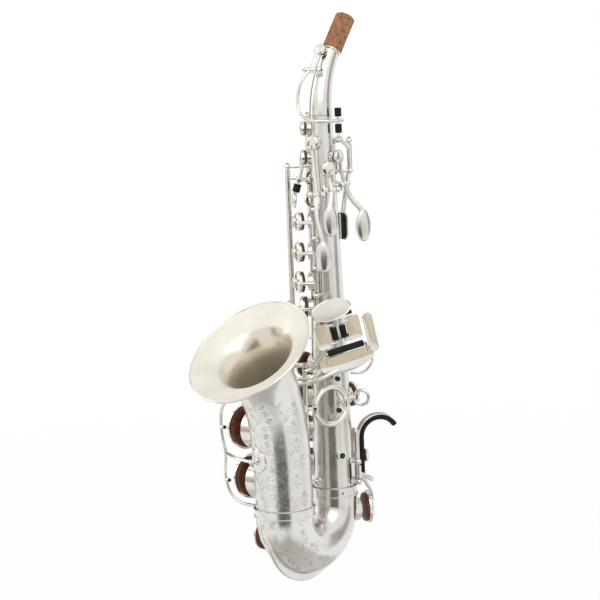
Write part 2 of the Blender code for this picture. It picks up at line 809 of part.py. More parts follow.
# The rollers' ends in the table's plane: along and rise
ROLLERS = {
    "table_roller_c_sharp": ((-4.9, 5.0), (-4.9, 14.5)),
    "table_roller_b": ((2.0, 5.0), (2.0, 14.5)),
    "table_roller_bb": ((-13.3, -3.07), (14.7, -3.07)),
}


def roller_ears(name, side):
    """Two stub arms that hold a roller's ends, from a plate on the given side of it."""
    (low_along, low), (high_along, high) = ROLLERS[name]
    clear = GAP + 1.6
    if side:
        ends = ((low_along, low - clear), (high_along, high + clear))
        return [wire([table_point(x + side * 5.0, y), table_point(x, y)], 1.1) for x, y in ends]
    ends = ((low_along - clear, low), (high_along + clear, high))
    return [wire([table_point(x, y - 7.0), table_point(x, y)], 1.1) for x, y in ends]


def low_bb_touch():
    """The lowest plate of the table, with its raised bar on the right."""
    arm = [at(LOW_BB_ROD, 141), (-7, -38, 141), (11, -37.5, 142), table_point(-9.0, -17.0, -0.3)]
    plates = [
        table_plate(d_outline(21.5, 7.2), -0.5, -13.4),
        table_plate(rounded(2.8, 15.0, 2.4), 21.0, 6.0, TABLE_PLATE / 2),
        wire(arm, 1.5),
    ]
    return plates + roller_ears("table_roller_bb", 0)


def low_b_touch():
    arm = [
        at(LOW_B_ROD, 144.5),
        (-2, -33, 144.5),
        (6, -30, 145),
        (9, -20.5, 149.5),
        (12, -17, 160),
        table_point(-3.3, 3.8, -8.0),
        table_point(9.5, 6.0, -0.3),
    ]
    plates = [table_plate(rounded(5.2, 8.8, 2.0), 10.4, 10.2), wire(arm, 1.5)]
    return plates + roller_ears("table_roller_b", 1)


def c_sharp_touch():
    arm = [at(C_SHARP_ROD, 149.2), (6, -25, 151), (9.5, -25, 161), table_point(-14.9, 4.2, -0.3)]
    plates = [table_plate(rounded(5.6, 9.4, 2.5), -13.7, 9.7), wire(arm, 1.5)]
    return plates + roller_ears("table_roller_c_sharp", -1)


C_SHARP_PIVOT = Vector((-24.0, -33.0, 0.0))


def make_rollers():
    for name, (low, high) in ROLLERS.items():
        start, end = table_point(*low), table_point(*high)
        add_part(name, fuse([cylinder(start, end, ROLLER_RADIUS, 12)]), BLACK, (start + end) / 2)


def make_c_sharp():
    """The low C-sharp lever, the key it lifts, and the saddle that carries that key."""
    tail = [at(C_SHARP_ROD, 72.0), (-9, -21, 69), (-13, -22, 58), (-19, -27.6, 48)]
    pieces = [rod_tube(C_SHARP_ROD), wire(tail)] + c_sharp_touch()
    add_part("low_c_sharp_lever", fuse(pieces), POLISHED, at(C_SHARP_ROD, 110.0))

    base, way, _, seat, _, radius = LOW_C_SHARP_HOLE
    pieces, middle, _ = pad_and_cup(base, way, seat, radius, 16)
    low, high = at(C_SHARP_PIVOT, 34.0), at(C_SHARP_PIVOT, 50.0)
    tube = hinge_tube(low + UP * POST_CLEAR, high - UP * POST_CLEAR)
    pieces += [
        tube,
        wire([at(C_SHARP_PIVOT, 41.0), (-29, -37, 38), (-29, -42, 34), middle]),
        wire([at(C_SHARP_PIVOT, 46.0), (-18, -31.6, 46)]),
    ]
    add_part("low_c_sharp_key", fuse(pieces), POLISHED, at(C_SHARP_PIVOT, 42.0))

    bow_axis = Vector((0, -55.6, 42.0))
    out = (at(C_SHARP_PIVOT, 42.0) - bow_axis).normalized()
    foot = cylinder(bow_axis + out * 21.6, bow_axis + out * 23.2, 4.0, 10)
    stand = bow_axis + out * 22.6
    saddle = [foot]
    for end in (low, high):
        knee = Vector((bow_axis.x, bow_axis.y, end.z)) + out * 27.0
        saddle += [wire([stand, knee, end], 1.3), ball(end)]
    add_part("c_sharp_saddle", fuse(saddle), POLISHED)


def make_low_keys():
    make_low_brackets()
    turn = -BELL_KEY_OPENING
    bb_touch = turned_back(low_bb_touch(), LOW_BB_ROD, turn)
    make_bell_key("low_bb", LOW_BB_HOLE, LOW_BB_ROD, [(-29, -40), (-31, -48)], bb_touch)
    b_touch = turned_back(low_b_touch(), LOW_B_ROD, turn)
    make_bell_key("low_b", LOW_B_HOLE, LOW_B_ROD, [(-20, -27), (-30, -38), (-31, -46)], b_touch)
    make_c_sharp()
    make_rollers()


G_SHARP_HINGE_HEIGHT = 190.0
G_SHARP_HINGE_ENDS = (-17.0, -5.0)


def behind_table(along, height, out):
    """A point behind the table's plane, by its level distance and height."""
    return polar(TABLE_ANGLE, TABLE_REACH + out, height) + tangent(TABLE_ANGLE) * along


def make_g_sharp_lever():
    """The oval G-sharp touch on a level hinge behind it, and the bracket on the body."""
    start, end = (behind_table(along, G_SHARP_HINGE_HEIGHT, -6.0) for along in G_SHARP_HINGE_ENDS)
    along = (end - start).normalized()
    tube = hinge_tube(start + along * POST_CLEAR, end - along * POST_CLEAR)
    pivot = (start + end) / 2
    touch = table_plate(oval(15.2, 7.6), -3.4, 27.2)
    arm = wire([pivot, behind_table(-10.0, 197.0, -0.3)], 1.5)
    add_part("g_sharp_lever", fuse([touch, tube, arm]), POLISHED, pivot)

    foot = polar(38.0, body_radius(190.0) + 1.2, 190.0)
    bracket = [body_foot(38.0, 190.0)]
    for spot in (start, end):
        knee = spot - polar(TABLE_ANGLE, 5.0)
        bracket += [wire([foot, knee, spot], 1.3), ball(spot)]
    add_part("g_sharp_bracket", fuse(bracket), POLISHED)


make_low_keys()
make_g_sharp_lever()


# Side keys: long rods on the right-hand side, and the pad below the strap ring

SIDE_LOW_POST = 170.0

# Rod angle and reach, upper post height, and the touch's angle, reach and height
SIDE_KEYS = {
    "side_e_key": ((-112.0, 22.0), 333.0, (-122.0, 28.0, 205.0)),
    "side_c_key": ((-80.0, 30.0), 296.5, (-88.0, 36.0, 191.0)),
    "side_bb_key": ((-150.0, 22.0), 280.5, (-157.0, 28.0, 178.0)),
}
SIDE_ARM_KNEES = {"side_bb_key": [polar(-140.0, 15.5, 272.0)]}
OUTER_ROD_REACH = 25.0
SIDE_UPPER_RIB = -140.0


def closed_key(name, rod, low, high, touch_place, knees=()):
    """A closed key on an upright rod: cup, arm, tube and side touch.

    An arm from an outer rod comes straight down on its cup, any other round the cup's side.
    """
    angle, height, _, radius = TONE_HOLES[name]
    base, way = Vector((0, 0, height)), polar(angle, 1.0)
    pieces, middle, _ = pad_and_cup(base, way, body_radius(height) + CHIMNEY_HEIGHT, radius, 12)
    pivot = polar(*rod, height)
    side = tangent(angle)
    side = side if side.dot(pivot - middle) > 0 else -side
    tube = hinge_tube(polar(*rod, low + POST_CLEAR), polar(*rod, high - POST_CLEAR))
    corners = [] if rod[1] > OUTER_ROD_REACH else [*knees, middle + side * (radius + 1.5)]
    touch_angle, _, touch_height = touch_place
    touch = polar(*touch_place)
    pieces += [
        tube,
        wire([pivot, *corners, middle]),
        wire([polar(*rod, touch_height), touch]),
        spoon(touch, tangent(touch_angle), UP, 4.5, 6.0),
    ]
    add_part(name, fuse(pieces), POLISHED, pivot)


def make_side_keys():
    low_rib = [band_arc(-153.0, -77.0, (SIDE_LOW_POST, SIDE_LOW_POST), 9)]
    bar = rib_bar(SIDE_UPPER_RIB, 277.0, 333.0)
    high_rib = [bar]
    for name, (rod, high, touch_place) in SIDE_KEYS.items():
        low_rib += post(*rod, SIDE_LOW_POST)
        foot = polar(SIDE_UPPER_RIB, body_radius(high) + 1.8, high - 1.5)
        knee = polar((SIDE_UPPER_RIB + rod[0]) / 2, 16.0, high)
        high_rib += [wire([foot, knee, polar(*rod, high)], POST_RADIUS), ball(polar(*rod, high))]
        knees = SIDE_ARM_KNEES.get(name, ())
        closed_key(name, rod, SIDE_LOW_POST, high, touch_place, knees)
    add_part("side_key_lower_rib", fuse(low_rib), POLISHED)
    add_part("side_key_upper_rib", fuse(high_rib), POLISHED)


F_SHARP_ROD = (-152.0, 21.0)
F_SHARP_POSTS = (117.0, 135.0)


def make_side_f_sharp():
    bar = rib_bar(F_SHARP_ROD[0], F_SHARP_POSTS[0] - 2.0, F_SHARP_POSTS[1] + 2.0)
    pieces = [bar]
    for height in F_SHARP_POSTS:
        pieces += post(*F_SHARP_ROD, height)
    add_part("side_f_sharp_rib", fuse(pieces), POLISHED)
    closed_key("side_f_sharp_key", F_SHARP_ROD, *F_SHARP_POSTS, (-140.0, 28.0, 126.0))


# Low C: its rib on the left of the body, key and pad round the back of the bow

LOW_C_ROD = (100.0, 21.5)
LOW_C_POSTS = (64.0, 79.0)
LOW_C_TOUCH = (-125.0, 27.0, 61.5)


def make_low_c():
    bar = rib_bar(LOW_C_ROD[0], LOW_C_POSTS[0] - 1.5, LOW_C_POSTS[1] + 1.5)
    pieces = [bar]
    for height in LOW_C_POSTS:
        pieces += post(*LOW_C_ROD, height)
    add_part("low_c_rib", fuse(pieces), POLISHED)

    cup, pad, middle = big_pad_and_cup(LOW_C_HOLE)
    low, high = (polar(*LOW_C_ROD, height) for height in LOW_C_POSTS)
    tube = hinge_tube(low + UP * POST_CLEAR, high - UP * POST_CLEAR)
    pivot = polar(*LOW_C_ROD, 71.0)
    touch = polar(*LOW_C_TOUCH)
    around = [polar(angle, 26.0, LOW_C_TOUCH[2]) for angle in (140.0, 170.0, 200.0, 222.0)]
    pieces = [
        cup,
        tube,
        wire([pivot, polar(116.0, 25.5, 60.0), polar(136.0, 25.8, 50.0), middle], 1.4),
        wire([pivot, polar(116.0, 26.0, 66.0)] + around + [touch], 1.3),
        spoon(touch, tangent(LOW_C_TOUCH[0]), UP, 7.0, 4.5),
    ]
    add_part("low_c_key", fuse(pieces), POLISHED, pivot, UP, -LOW_C_OPENING)
    add_part("low_c_pad", fuse([pad]), LEATHER, pivot, UP, -LOW_C_OPENING)


# Octave mechanism: thumb lever with its pin, and the key on the neck

OCTAVE_ROD = (136.0, 20.0)
OCTAVE_POSTS = (293.0, 315.0)
OCTAVE_PIN = Vector((14.3, 2.5, 0.0))
THUMB_PLATE = (170.0, 17.6, 252.0)
THUMB_REST = (200.0, 232.0)
THUMB_REST_RADIUS = 6.0
NECK_HINGE_DISTANCE = 27.0
NECK_HINGE_REACH = 13.0
NECK_HINGE_HALF = 6.6


def make_octave_lever():
    low, high = (polar(*OCTAVE_ROD, height) for height in OCTAVE_POSTS)
    bar = rib_bar(OCTAVE_ROD[0], OCTAVE_POSTS[0] - 2.0, OCTAVE_POSTS[1] + 2.0, 1.4)
    pieces = [bar]
    for height in OCTAVE_POSTS:
        pieces += post(*OCTAVE_ROD, height)
    add_part("octave_rib", fuse(pieces), POLISHED)

    tube = hinge_tube(low + UP * POST_CLEAR, high - UP * POST_CLEAR)
    plate_center = polar(*THUMB_PLATE)
    angle = THUMB_PLATE[0]
    arm = [polar(*OCTAVE_ROD, 303), polar(153, 22, 300), polar(167, 20.5, 278), plate_center + UP * 8]
    pieces = [
        tube,
        wire([at(OCTAVE_PIN, 317), at(OCTAVE_PIN, 339)], 1.0),
        wire([polar(*OCTAVE_ROD, 309), (16.4, 6.5, 313.5), at(OCTAVE_PIN, 317.5)], 1.3),
        wire(arm, 1.4),
        plate(rounded(5.0, 10.5, 4.0), 1.8, plate_center, tangent(angle), UP),
    ]
    add_part("octave_lever", fuse(pieces), POLISHED, (low + high) / 2)

    angle, height = THUMB_REST
    rest = polar(angle, body_radius(height) + GAP, height)
    out = polar(angle, 1.0)
    stem = cylinder(rest, rest + out * 3.0, 3.0, 10)
    pad = cylinder(rest + out * 2.0, rest + out * 4.6, THUMB_REST_RADIUS, 16, THUMB_REST_RADIUS - 1.2)
    add_part("thumb_rest", fuse([pad, stem]), BLACK)


def make_neck_octave():
    center, way = neck_point(NECK_HINGE_DISTANCE)
    front = Vector((0, -way.z, way.y))
    hinge = center + front * NECK_HINGE_REACH
    side = Vector((1, 0, 0))
    ends = [hinge - side * NECK_HINGE_HALF, hinge + side * NECK_HINGE_HALF]
    saddle = [cylinder(center + front * 7.6, center + front * 9.0, 3.2, 10)]
    for end in ends:
        knee = end - front * 4.2
        saddle += [wire([center + front * 8.4, knee, end], 1.2), ball(end, 2.0)]
    add_part("neck_octave_saddle", fuse(saddle), POLISHED)

    clear = 2.0 + GAP
    tube = cylinder(ends[0] + side * clear, ends[1] - side * clear, 1.7)
    pip, out = pip_frame()
    pieces, middle, _ = pad_and_cup(pip, out, PIP_HEIGHT, 4.4, 12)
    loop = [
        hinge - side * 2.5,
        (-6, -13.5, 360),
        (-8.5, -14.8, 350),
        (-8.5, -15.2, 341),
        (-5, -16.5, 335),
        (2, -17, 331.6),
        (10, -14.5, 330.6),
        (16.5, -7, 330.5),
        (18.5, 2, 330.5),
    ]
    pieces += [tube, wire([hinge, middle], 1.3), wire(loop, 1.1)]
    add_part("neck_octave_key", fuse(pieces), POLISHED, hinge)


# Thumb hook on its plate, strap ring, ring brace and key guard

HOOK_LOW = 63.0
HOOK_BEND_HEIGHT = 94.5
HOOK_PLATE_HEIGHT = 81.2
HOOK_BEND_RADIUS = 14.5
HOOK_REACH = 21.2
HOOK_THICKNESS = 3.0
HOOK_HALF_WIDTH = 4.2
HOOK_END_TURN = 32.0


def make_thumb_hook():
    angle = THUMB_HOOK_ANGLE
    inner, outer = 16.4, HOOK_REACH - HOOK_THICKNESS / 2 - GAP
    middle = polar(angle, (inner + outer) / 2, HOOK_PLATE_HEIGHT)
    base = plate(rounded(4.6, 20.0, 2.0), outer - inner, middle, tangent(angle), UP)
    add_part("thumb_hook_plate", fuse([base]), SILVER)

    half = HOOK_THICKNESS / 2
    center = (HOOK_REACH + HOOK_BEND_RADIUS, HOOK_BEND_HEIGHT)
    outside = [(HOOK_REACH - half, HOOK_LOW)]
    inside = [(HOOK_REACH + half, HOOK_LOW)]
    steps = 10
    for step in range(steps + 1):
        turn = math.radians(180.0 - (180.0 - HOOK_END_TURN) * step / steps)
        for line, radius in ((outside, HOOK_BEND_RADIUS + half), (inside, HOOK_BEND_RADIUS - half)):
            line.append((center[0] + radius * math.cos(turn), center[1] + radius * math.sin(turn)))
    outline = outside + inside[::-1]
    hook = plate(outline, 2 * HOOK_HALF_WIDTH, (0, 0, 0), polar(angle, 1.0), UP)
    add_part("thumb_hook", fuse([hook]), BLACK, polar(angle, HOOK_REACH, HOOK_PLATE_HEIGHT))


def make_strap_ring():
    angle, reach, height = STRAP_RING
    eye = ring(ORIGIN, polar(angle, 1.0), UP, 5.4, 1.3, 16)
    stem = cylinder(polar(angle, body_radius(height) + 1.0, height), polar(angle, reach - 5.0, height), 1.8)
    add_part("strap_ring", fuse([eye, stem, body_foot(angle, height, 4.0)]), POLISHED)


BRACE_CENTER = Vector((18.0, -21.4, 125.0))
BRACE_RADIUS = 13.6
BRACE_ANGLE = 74.0


def make_bell_brace():
    along = tangent(BRACE_ANGLE)
    bell_axis = Vector((0, -61.7, 125.0))
    near, far = BRACE_CENTER - along * BRACE_RADIUS, BRACE_CENTER + along * BRACE_RADIUS
    out = (near - bell_axis).normalized()
    turn = math.degrees(math.atan2(far.x, -far.y))
    surface = body_radius(125.0)
    pieces = [
        ring(BRACE_CENTER, along, UP, BRACE_RADIUS, 1.4),
        wire([near, bell_axis + out * 23.6], 1.4),
        cylinder(bell_axis + out * 22.9, bell_axis + out * 24.2, 3.6, 10),
        wire([far, polar(turn, surface + 1.0, 125.0)], 1.4),
        ball(polar(turn, 21.0, 125.0), 2.6),
        body_foot(turn, 125.0),
    ]
    add_part("bell_brace", fuse(pieces), POLISHED)


GUARD_FOOT_ANGLE = -13.0


def make_bell_key_guard():
    loop = [
        (-22.9, -63, 133),
        (-38, -68, 133),
        (-45, -69, 128),
        (-47, -69, 110),
        (-45.5, -68.5, 92),
        (-47, -67, 76),
        (-45, -65, 60),
        (-37, -61.5, 53.2),
        (-23.4, -57, 52),
    ]
    bell_axis = Vector((0, -56.9, 92.0))
    out = polar(GUARD_FOOT_ANGLE, 1.0)
    head = bell_axis + out * 26.4
    strut = [(-45.5, -68.5, 92), (-26, -78.5, 92), head]
    stem = cylinder(bell_axis + out * 22.8, head, 1.6)
    foot = cylinder(bell_axis + out * 22.4, bell_axis + out * 23.5, 8.8, 16)
    pieces = [wire(loop, 1.2), wire(strut, 1.2), stem, ball(head, 2.2), foot]
    add_part("bell_key_guard", fuse(pieces), POLISHED)


make_side_keys()
make_side_f_sharp()
make_low_c()
make_octave_lever()
make_neck_octave()
make_thumb_hook()
make_strap_ring()
make_bell_brace()
make_bell_key_guard()
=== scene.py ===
"""Curved soprano saxophone: the finished look of every part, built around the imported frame.

Lengths are in millimetres until metres() turns them into the frame's metres. The body tube's
axis is Z, the outside of the bow is at z = 0, the bell is towards -Y and the player's left hand
at +X. Angles around the body tube run from the bell side towards the left hand.
"""
import math

import bmesh
import bpy
from mathutils import Matrix, Vector


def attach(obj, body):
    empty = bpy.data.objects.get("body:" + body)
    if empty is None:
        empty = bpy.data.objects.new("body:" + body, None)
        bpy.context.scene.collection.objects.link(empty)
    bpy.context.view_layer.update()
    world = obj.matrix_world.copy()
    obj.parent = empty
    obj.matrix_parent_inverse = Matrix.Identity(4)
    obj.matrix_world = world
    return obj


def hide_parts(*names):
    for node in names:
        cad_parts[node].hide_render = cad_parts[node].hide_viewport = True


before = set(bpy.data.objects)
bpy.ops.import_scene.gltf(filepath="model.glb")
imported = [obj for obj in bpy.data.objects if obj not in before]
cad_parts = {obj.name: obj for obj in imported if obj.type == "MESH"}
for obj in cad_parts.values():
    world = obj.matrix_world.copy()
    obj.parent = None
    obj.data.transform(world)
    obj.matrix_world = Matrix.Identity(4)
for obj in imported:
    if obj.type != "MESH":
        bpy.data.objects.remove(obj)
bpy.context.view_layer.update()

MM = 0.001
GAP = 0.3
WALL = 0.9
UP = Vector((0.0, 0.0, 1.0))
ACROSS = Vector((1.0, 0.0, 0.0))
ROOT = "instrument_body"


def polar(angle, reach, height=0.0):
    """A point around the body tube."""
    turn = math.radians(angle)
    return Vector((reach * math.sin(turn), -reach * math.cos(turn), height))


def tangent(angle):
    """The level direction along the body tube's surface, towards growing angle."""
    turn = math.radians(angle)
    return Vector((math.cos(turn), math.sin(turn), 0.0))


STRAP_RING = (118.0, 23.0, 126.0)
ORIGIN = polar(*STRAP_RING)


def metres(point):
    return (Vector(point) - ORIGIN) * MM


# Shells: closed surfaces as a list of points and a list of faces

def loft(rings, wrap=False):
    """Faces between rings of points, with end caps unless the last ring meets the first."""
    sides = len(rings[0])
    points = [point for ring in rings for point in ring]
    faces = []
    rows = len(rings) if wrap else len(rings) - 1
    for row in range(rows):
        low, high = row * sides, ((row + 1) % len(rings)) * sides
        for side in range(sides):
            after = (side + 1) % sides
            faces.append((low + side, low + after, high + after, high + side))
    if not wrap:
        faces.append(tuple(range(sides))[::-1])
        faces.append(tuple(range(len(points) - sides, len(points))))
    return points, faces


def eased(points, rounds=3, closed=False):
    """A path with its corners cut round, keeping its ends."""
    points = [Vector(point) for point in points]
    for _ in range(rounds):
        pairs = list(zip(points, points[1:] + points[:1] if closed else points[1:]))
        cut = []
        for first, second in pairs:
            cut += [first.lerp(second, 0.25), first.lerp(second, 0.75)]
        points = cut if closed else [points[0]] + cut[1:-1] + [points[-1]]
    return points


def ways_along(points, closed=False):
    count = len(points)
    ways = []
    for index in range(count):
        before = points[index - 1] if index or closed else points[index]
        after = points[(index + 1) % count] if index < count - 1 or closed else points[index]
        ways.append((after - before).normalized())
    return ways


def sweep(points, radius=1.0, sides=14, radii=None, side=None, flat=1.0, closed=False):
    """A bar along a path: round, or flattened across its side direction."""
    points = [Vector(point) for point in points]
    ways = ways_along(points, closed)
    across = Vector(side) if side is not None else ways[0].orthogonal()
    sizes = radii or [radius] * len(points)
    rings = []
    for point, way, size in zip(points, ways, sizes):
        across = (across - way * across.dot(way)).normalized()
        other = way.cross(across)
        ring = []
        for step in range(sides):
            turn = 2 * math.pi * step / sides
            ring.append(point + size * (math.cos(turn) * across + flat * math.sin(turn) * other))
        rings.append(ring)
    return loft(rings, closed)


def lathe(start, way, profile, sides=32):
    """A turned shape from rows of distance along the axis and radius."""
    start, way = Vector(start), Vector(way).normalized()
    across = way.orthogonal().normalized()
    other = way.cross(across)
    rings = []
    for along, radius in profile:
        size = max(radius, 0.01)
        ring = []
        for step in range(sides):
            turn = 2 * math.pi * step / sides
            ring.append(start + way * along + size * (math.cos(turn) * across + math.sin(turn) * other))
        rings.append(ring)
    return loft(rings)


def rod(start, end, radius, sides=18):
    """A straight rod with softened ends."""
    start, end = Vector(start), Vector(end)
    length = (end - start).length
    soft = min(0.25, radius * 0.3)
    profile = [(0, radius - soft), (soft, radius), (length - soft, radius), (length, radius - soft)]
    return lathe(start, end - start, profile, sides)


def ball(center, radius, steps=10, sides=20):
    """A ball as a turned shape, standing along Z."""
    profile = []
    for step in range(steps + 1):
        turn = math.pi * step / steps
        profile.append((radius - radius * math.cos(turn), radius * math.sin(turn)))
    return lathe(Vector(center) - UP * radius, UP, profile, sides)


def placing(center, across, up):
    """A placing matrix with local X across, local Y up and local Z facing out."""
    across, up = Vector(across).normalized(), Vector(up).normalized()
    facing = across.cross(up).normalized()
    return Matrix.Translation(Vector(center)) @ Matrix((across, up, facing)).transposed().to_4x4()


def slab(outline, rows, center, across, up, bow=0.0):
    """A plate of stacked outlines: rows of scale and height, bent back by bow over its width."""
    place = placing(center, across, up)
    widest = max(abs(x) for x, _ in outline)
    rings = []
    for scale, height in rows:
        ring = []
        for x, y in outline:
            back = bow * (x * scale / widest) ** 2
            ring.append(place @ Vector((x * scale, y * scale, height - back)))
        rings.append(ring)
    return loft(rings)


def plate_rows(thickness, soft=0.35, dish=0.0):
    """A plate's rows, with softened edges and a slightly dished or domed front."""
    half = thickness / 2
    near = 1 - soft * 0.06
    rows = [(0.02, -half), (near - 0.02, -half), (1.0, -half + soft), (1.0, half - soft), (near, half)]
    return rows + [(0.8, half + dish * 0.4), (0.5, half + dish * 0.8), (0.02, half + dish)]


def spoon_outline(half_width, half_height, point=0.35, steps=40):
    """An almond: round at the bottom and pointed at the top."""
    outline = []
    for step in range(steps):
        turn = 2 * math.pi * step / steps
        y = math.sin(turn)
        taper = 1 - point * max(y, 0.0) ** 1.5
        outline.append((half_width * math.cos(turn) * taper, half_height * y))
    return outline


def spoon(center, across, up, half_width, half_height, thickness=2.4, point=0.3, bow=1.2):
    """A rounded finger touch, fuller in the middle and bent round the hand."""
    rows = []
    steps = 12
    for step in range(steps + 1):
        turn = math.pi * (step / steps - 0.5)
        rows.append((max(math.cos(turn), 0.02) ** 0.75, thickness / 2 * math.sin(turn)))
    return slab(spoon_outline(half_width, half_height, point), rows, center, across, up, bow)


def oval(half_width, half_height, steps=48):
    turns = [2 * math.pi * step / steps for step in range(steps)]
    return [(half_width * math.cos(turn), half_height * math.sin(turn)) for turn in turns]


def rounded(half_width, half_height, corner, steps=6):
    """A rectangle's outline with round corners."""
    outline = []
    for quarter, (side, level) in enumerate(((1, 1), (-1, 1), (-1, -1), (1, -1))):
        for step in range(steps + 1):
            turn = math.radians(90 * (quarter + step / steps))
            x = side * (half_width - corner) + corner * math.cos(turn)
            y = level * (half_height - corner) + corner * math.sin(turn)
            outline.append((x, y))
    return outline


def d_outline(half_width, half_height, steps=24):
    """A plate with a straight top and a bowed bottom."""
    outline = [(half_width, half_height), (-half_width, half_height)]
    for step in range(steps + 1):
        turn = math.pi * (1 + step / steps)
        outline.append((half_width * math.cos(turn), half_height * (0.2 + 1.2 * math.sin(turn))))
    return outline


def hoop(center, first, second, radius, thickness, flat=1.0, steps=48):
    """A closed ring in the plane of two directions."""
    points = []
    for step in range(steps):
        turn = 2 * math.pi * step / steps
        points.append(Vector(center) + radius * (math.cos(turn) * first + math.sin(turn) * second))
    return sweep(points, thickness, 14, side=points[0] - Vector(center), flat=flat, closed=True)


def slotted_screw(center, way, radius, height=0.7):
    """A small screw head in two halves, with the slot between them."""
    way = Vector(way).normalized()
    across = way.orthogonal().normalized()
    other = way.cross(across)
    shells = [lathe(center, way, [(0, radius), (height * 0.45, radius)], 20)]
    for side in (-1, 1):
        outline = []
        for step in range(13):
            turn = math.pi * step / 12
            outline.append((radius * 0.96 * math.cos(turn), side * (radius * 0.16 + radius * 0.8 * math.sin(turn))))
        outline = outline if side > 0 else outline[::-1]
        middle = Vector(center) + way * height * 0.6
        rows = [(1.0, -height * 0.3), (1.0, height * 0.2), (0.9, height * 0.4)]
        shells.append(slab(outline, rows, middle, across, other))
    return shells


def turned(shells, pivot, degrees, axis=UP):
    """Shells turned about a line through the pivot."""
    pivot = Vector(pivot)
    turn = Matrix.Rotation(math.radians(degrees), 3, axis)
    return [([pivot + turn @ (point - pivot) for point in points], faces) for points, faces in shells]


# Materials

def nodes_of(name, colour, roughness, metallic):
    made = bpy.data.materials.new(name)
    made.use_nodes = True
    tree = made.node_tree
    shader = tree.nodes["Principled BSDF"]
    shader.inputs["Base Color"].default_value = (*colour, 1.0)
    shader.inputs["Roughness"].default_value = roughness
    shader.inputs["Metallic"].default_value = metallic
    return made, tree, shader


def noise(tree, scale, detail=4.0, rough=0.55, stretch=None):
    """Noise in the object's own metres, optionally stretched along its axes."""
    place = tree.nodes.new("ShaderNodeTexCoord")
    made = tree.nodes.new("ShaderNodeTexNoise")
    made.inputs["Scale"].default_value = scale
    made.inputs["Detail"].default_value = detail
    made.inputs["Roughness"].default_value = rough
    if stretch:
        mapping = tree.nodes.new("ShaderNodeMapping")
        mapping.inputs["Scale"].default_value = stretch
        tree.links.new(place.outputs["Object"], mapping.inputs["Vector"])
        tree.links.new(mapping.outputs["Vector"], made.inputs["Vector"])
    else:
        tree.links.new(place.outputs["Object"], made.inputs["Vector"])
    return made


def ramp(tree, source, stops):
    """A colour ramp from rows of place and colour."""
    made = tree.nodes.new("ShaderNodeValToRGB")
    line = made.color_ramp
    while len(line.elements) < len(stops):
        line.elements.new(0.5)
    for element, (place, colour) in zip(line.elements, stops):
        element.position = place
        element.color = (*colour, 1.0)
    tree.links.new(source, made.inputs["Fac"])
    return made


def spread(tree, source, low, high):
    """A value range from a noise's own range."""
    made = tree.nodes.new("ShaderNodeMapRange")
    made.inputs["From Min"].default_value = 0.3
    made.inputs["From Max"].default_value = 0.7
    made.inputs["To Min"].default_value = low
    made.inputs["To Max"].default_value = high
    tree.links.new(source, made.inputs["Value"])
    return made


def bumped(tree, shader, source, strength, distance):
    made = tree.nodes.new("ShaderNodeBump")
    made.inputs["Strength"].default_value = strength
    made.inputs["Distance"].default_value = distance
    tree.links.new(source, made.inputs["Height"])
    tree.links.new(made.outputs["Normal"], shader.inputs["Normal"])
    return made


def metal(name, colour, darker, low, high, grain, strength):
    """A plated metal with soft tarnish, uneven gloss and a fine grain."""
    made, tree, shader = nodes_of(name, colour, low, 1.0)
    cloud = noise(tree, 42.0, 5.0)
    tint = ramp(tree, cloud.outputs["Fac"], [(0.34, darker), (0.62, colour)])
    tree.links.new(tint.outputs["Color"], shader.inputs["Base Color"])
    gloss = noise(tree, 160.0, 4.0)
    level = spread(tree, gloss.outputs["Fac"], low, high)
    tree.links.new(level.outputs["Result"], shader.inputs["Roughness"])
    fine = noise(tree, grain, 3.0, 0.7)
    bumped(tree, shader, fine.outputs["Fac"], strength, 0.00002)
    return made


SATIN = metal("satin_silver_plate", (0.80, 0.785, 0.755), (0.72, 0.70, 0.665), 0.19, 0.27, 5200.0, 0.18)
POLISHED = metal("polished_silver_plate", (0.83, 0.81, 0.765), (0.73, 0.705, 0.655), 0.06, 0.13, 2600.0, 0.04)
ENGRAVED = metal("engraved_line", (0.56, 0.545, 0.52), (0.46, 0.445, 0.42), 0.3, 0.45, 3000.0, 0.2)
STEEL = metal("dark_steel", (0.27, 0.265, 0.26), (0.16, 0.155, 0.15), 0.2, 0.3, 2600.0, 0.05)


